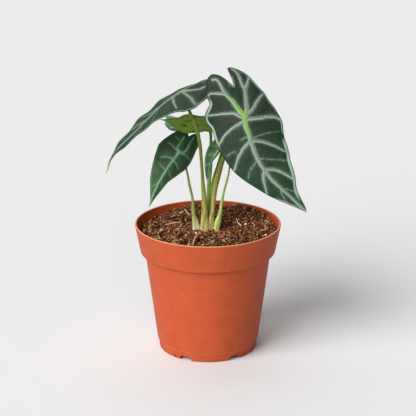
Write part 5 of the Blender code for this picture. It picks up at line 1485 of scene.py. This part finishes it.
    def dried_share(self, u):
        """How far the tip has changed to its dry or yellowed colour."""
        tip = self.values["plus"][0][0]
        return smooth(tip - self.values["dry_length"], tip - DRY_END, u)


def make_blades():
    """Every blade as one closed piece in its own leaf colour."""
    blades = {name: Blade(values) for name, values in BLADES.items()}
    for name, blade in blades.items():
        look = blade.values["look"]
        points, faces, fields, uv = blade.surface()
        finish = waxy_leaf(name, LOOKS[look], blade.values["sheen"])
        piece(f"leaf_blade_{name}", points, faces, finish, (f"blade_{name}",), fields, uv)
    return blades


# Each stalk's sheath at its foot: the way that it opens in degrees from +X towards the front, how far
# it stands out there as a share of the stalk's radius, and how high it reaches in millimetres
SHEATHS = {
    "right": (200, 0.9, 16),
    "left": (10, 1.1, 24),
    "back": (180, 0.6, 20),
    "behind": (90, 0.5, 16),
    "lower_left": (5, 0.7, 13),
    "small": (178, 0.95, 13),
}


def make_stalk(name, stalk, blade):
    """A stalk: a section carried along a smooth curve from its foot in the soil, under the blade's
    junction and on into the midrib's rib. The section is a circle less a bell curve of the turn, which
    is a shallow channel on the sheath's side. Near the foot a power of the turn's cosine, one that falls
    with the height, stands out to that side as an open sheath."""
    x, y, radius = stalk["foot"]
    rows = [*((x, y, level, share * radius) for level, share in STALK_FOOT), *stalk["path"]]
    u, depth, share = np.array(STALK_ENDS).T
    under = blade.place(u, 0 * u) - blade.normal(u, 0 * u) * depth[:, None]
    rows += np.column_stack([under, share * stalk["end_radius"]]).tolist()
    curve = even_curve(rows, STALK_STEP)
    centres = curve[:, :3]
    height = centres[:, 2]
    forward = unit(np.gradient(centres, axis=0))
    aside = unit(np.cross((0, 1, 0), forward))
    front = np.cross(forward, aside)
    turn = circle(STALK_SIDES)
    way, out, high = SHEATHS[name]
    above = np.clip((height - SOIL_LEVEL + SHEATH_BELOW) / (high + SHEATH_BELOW), 0, 1)
    opening = out * (1 - above) ** SHEATH_FALL * smooth(FOOT_DEPTH, FOOT_DEPTH + SHEATH_START, height)
    lobe = np.maximum(0, np.cos(turn - math.radians(way))) ** SHEATH_LOBE
    channel = np.exp(-((turn - math.radians(way) + np.pi) % (2 * np.pi) - np.pi) ** 2 / CHANNEL_BELL)
    shape = 1 + opening[:, None] * lobe - CHANNEL * smooth(*CHANNEL_SPAN, above)[:, None] * channel
    rings = np.arange(len(curve))[:, None]
    skin = np.stack(np.broadcast_arrays(turn * SKIN_GRAIN[0], rings * SKIN_GRAIN[1]), axis=-1)
    shape += SKIN * bumps(skin, 1.0, SEED)
    ring = np.cos(turn)[:, None] * aside[:, None] + np.sin(turn)[:, None] * front[:, None]
    points = centres[:, None] + (curve[:, 3:] * shape)[..., None] * ring
    points = np.concatenate([points.reshape(-1, 3), centres[:1], centres[-1:]])
    quads, fans = tube_faces(len(curve), STALK_SIDES)
    up = np.interp(height, (SOIL_LEVEL, height.max()), (0, 1))
    up = np.concatenate([np.repeat(up, STALK_SIDES), [0, 1]])
    length = running_length(centres) / UV_SPAN
    across = turn * STALK_ROUND / UV_SPAN
    uv = np.concatenate([grid_points(across, length[:, None]), [(0, 0), (0, length[-1])]])
    finish = fleshy_stalk(name, STALK_LOOKS[name])
    piece(f"leaf_stalk_{name}", points, quads.tolist() + fans.tolist(), finish,
          (f"petiole_{name}",), {"share_up": up}, uv)


def make_scrap(name, scrap, finish):
    """A scrap of dry sheath: a strip curled about an upright line, narrowing and leaning to its torn
    top, crumpled by two sizes of bumps. The angle about the line grows evenly across the strip, and the
    lean with the square of the height."""
    foot_x, foot_y = scrap["foot"]
    curl = scrap["curl_radius"]
    up = np.linspace(SCRAP_FOOT, 1, SCRAP_ROWS)[:, None]
    across = np.linspace(-0.5, 0.5, SCRAP_COLUMNS)[None, :]
    teeth = np.stack([across[0] * SCRAP_TEETH, 0 * across[0]], axis=-1)
    tear = 1 - SCRAP_TEAR * np.abs(bumps(teeth, 1.0, SEED))
    width = scrap["width"] * (1 - SCRAP_NARROWING * np.clip(up, 0, 1))
    angle = math.radians(scrap["turn"]) + width * across / curl
    grid = np.stack(np.broadcast_arrays(up * SCRAP_GRAIN[0], across * SCRAP_GRAIN[1]), axis=-1)
    crumple = mixed_bumps(grid, SCRAP_CRUMPLE, SEED)
    layers = []
    for side in (SCRAP_OFF, SCRAP_OFF + SCRAP_THICK):
        radius = curl + side + crumple
        x = foot_x + radius * np.sin(angle)
        y = foot_y + radius * np.cos(angle) - curl + SCRAP_LEAN * up * up
        layers.append(grid_points(x, y, SOIL_LEVEL + GAP + scrap["height"] * up * tear))
    count = SCRAP_ROWS * SCRAP_COLUMNS
    cells = sheet_quads(SCRAP_ROWS, SCRAP_COLUMNS)
    index = np.arange(count).reshape(SCRAP_ROWS, SCRAP_COLUMNS)
    loop = np.concatenate([index[0], index[1:, -1], index[-1, -2::-1], index[-2:0:-1, 0]])
    after = np.roll(loop, -1)
    border = np.stack([loop, count + loop, count + after, after], axis=1)
    faces = np.concatenate([cells, count + cells[:, ::-1], border]).tolist()
    uv = np.tile(grid_points(across * SCRAP_UV[0], up * SCRAP_UV[1]), (2, 1))
    piece(f"sheath_scrap_{name}", np.concatenate(layers), faces, finish,
          (f"dry_sheath_{name}",), None, uv)


def make_camera():
    """The camera: it looks along +Y and down, from in front of the rim."""
    down = math.radians(PITCH)
    ahead = Vector((0, math.cos(down), -math.sin(down)))
    up = Vector((0, math.sin(down), math.cos(down)))
    place = Vector((CAMERA_ASIDE, 0, AIM_HEIGHT)) - CAMERA_DISTANCE * ahead + CAMERA_LIFT * up
    data = bpy.data.cameras.new("view")
    data.sensor_width = SENSOR
    data.lens = FOCAL_PIXELS / PICTURE * SENSOR
    data.clip_end = FAR_CLIP
    view = bpy.data.objects.new("view", data)
    view.matrix_world = Matrix.Translation(place * MM) @ Matrix.Rotation(math.pi / 2 - down, 4, "X")
    bpy.context.scene.collection.objects.link(view)
    bpy.context.scene.camera = view


def make_stage():
    """A pale floor, a white even sky and three broad soft lamps: the key, a fill and one from behind."""
    scene = bpy.context.scene
    scene.view_settings.view_transform = "Standard"
    world = bpy.data.worlds.new("studio")
    world.use_nodes = True
    sky = world.node_tree.nodes["Background"]
    sky.inputs["Color"].default_value = (1, 1, 1, 1)
    sky.inputs["Strength"].default_value = SKY_STRENGTH
    scene.world = world
    for name, (turn, height, strength, width) in SUNS.items():
        data = bpy.data.lights.new(name, "SUN")
        data.energy = strength
        data.angle = math.radians(width)
        lamp = bpy.data.objects.new(name, data)
        height = math.radians(height)
        towards = Vector(turn_to(turn, math.cos(height), 0, math.sin(height)))
        lamp.rotation_euler = towards.to_track_quat("Z", "Y").to_euler()
        scene.collection.objects.link(lamp)
    mesh = bpy.data.meshes.new("floor")
    ends = (-FLOOR_HALF, FLOOR_HALF)
    mesh.from_pydata([(x, y, -FLOOR_DROP * MM) for y in ends for x in ends], [], [(0, 1, 3, 2)])
    board, _, _ = new_finish("studio_board_painted", Roughness=0.8, Base_Color=(*[FLOOR_SHADE] * 3, 1))
    mesh.materials.append(board)
    floor = bpy.data.objects.new("floor", mesh)
    scene.collection.objects.link(floor)


def main():
    """Builds every piece, the camera and the light."""
    make_camera()
    make_stage()
    make_pot()
    reach = make_bed()
    make_soil_top(reach)
    blades = make_blades()
    for name, stalk in STALKS.items():
        make_stalk(name, stalk, blades[name])
    paper = papery_sheath()
    for name, scrap in SCRAPS.items():
        make_scrap(name, scrap, paper)


main()
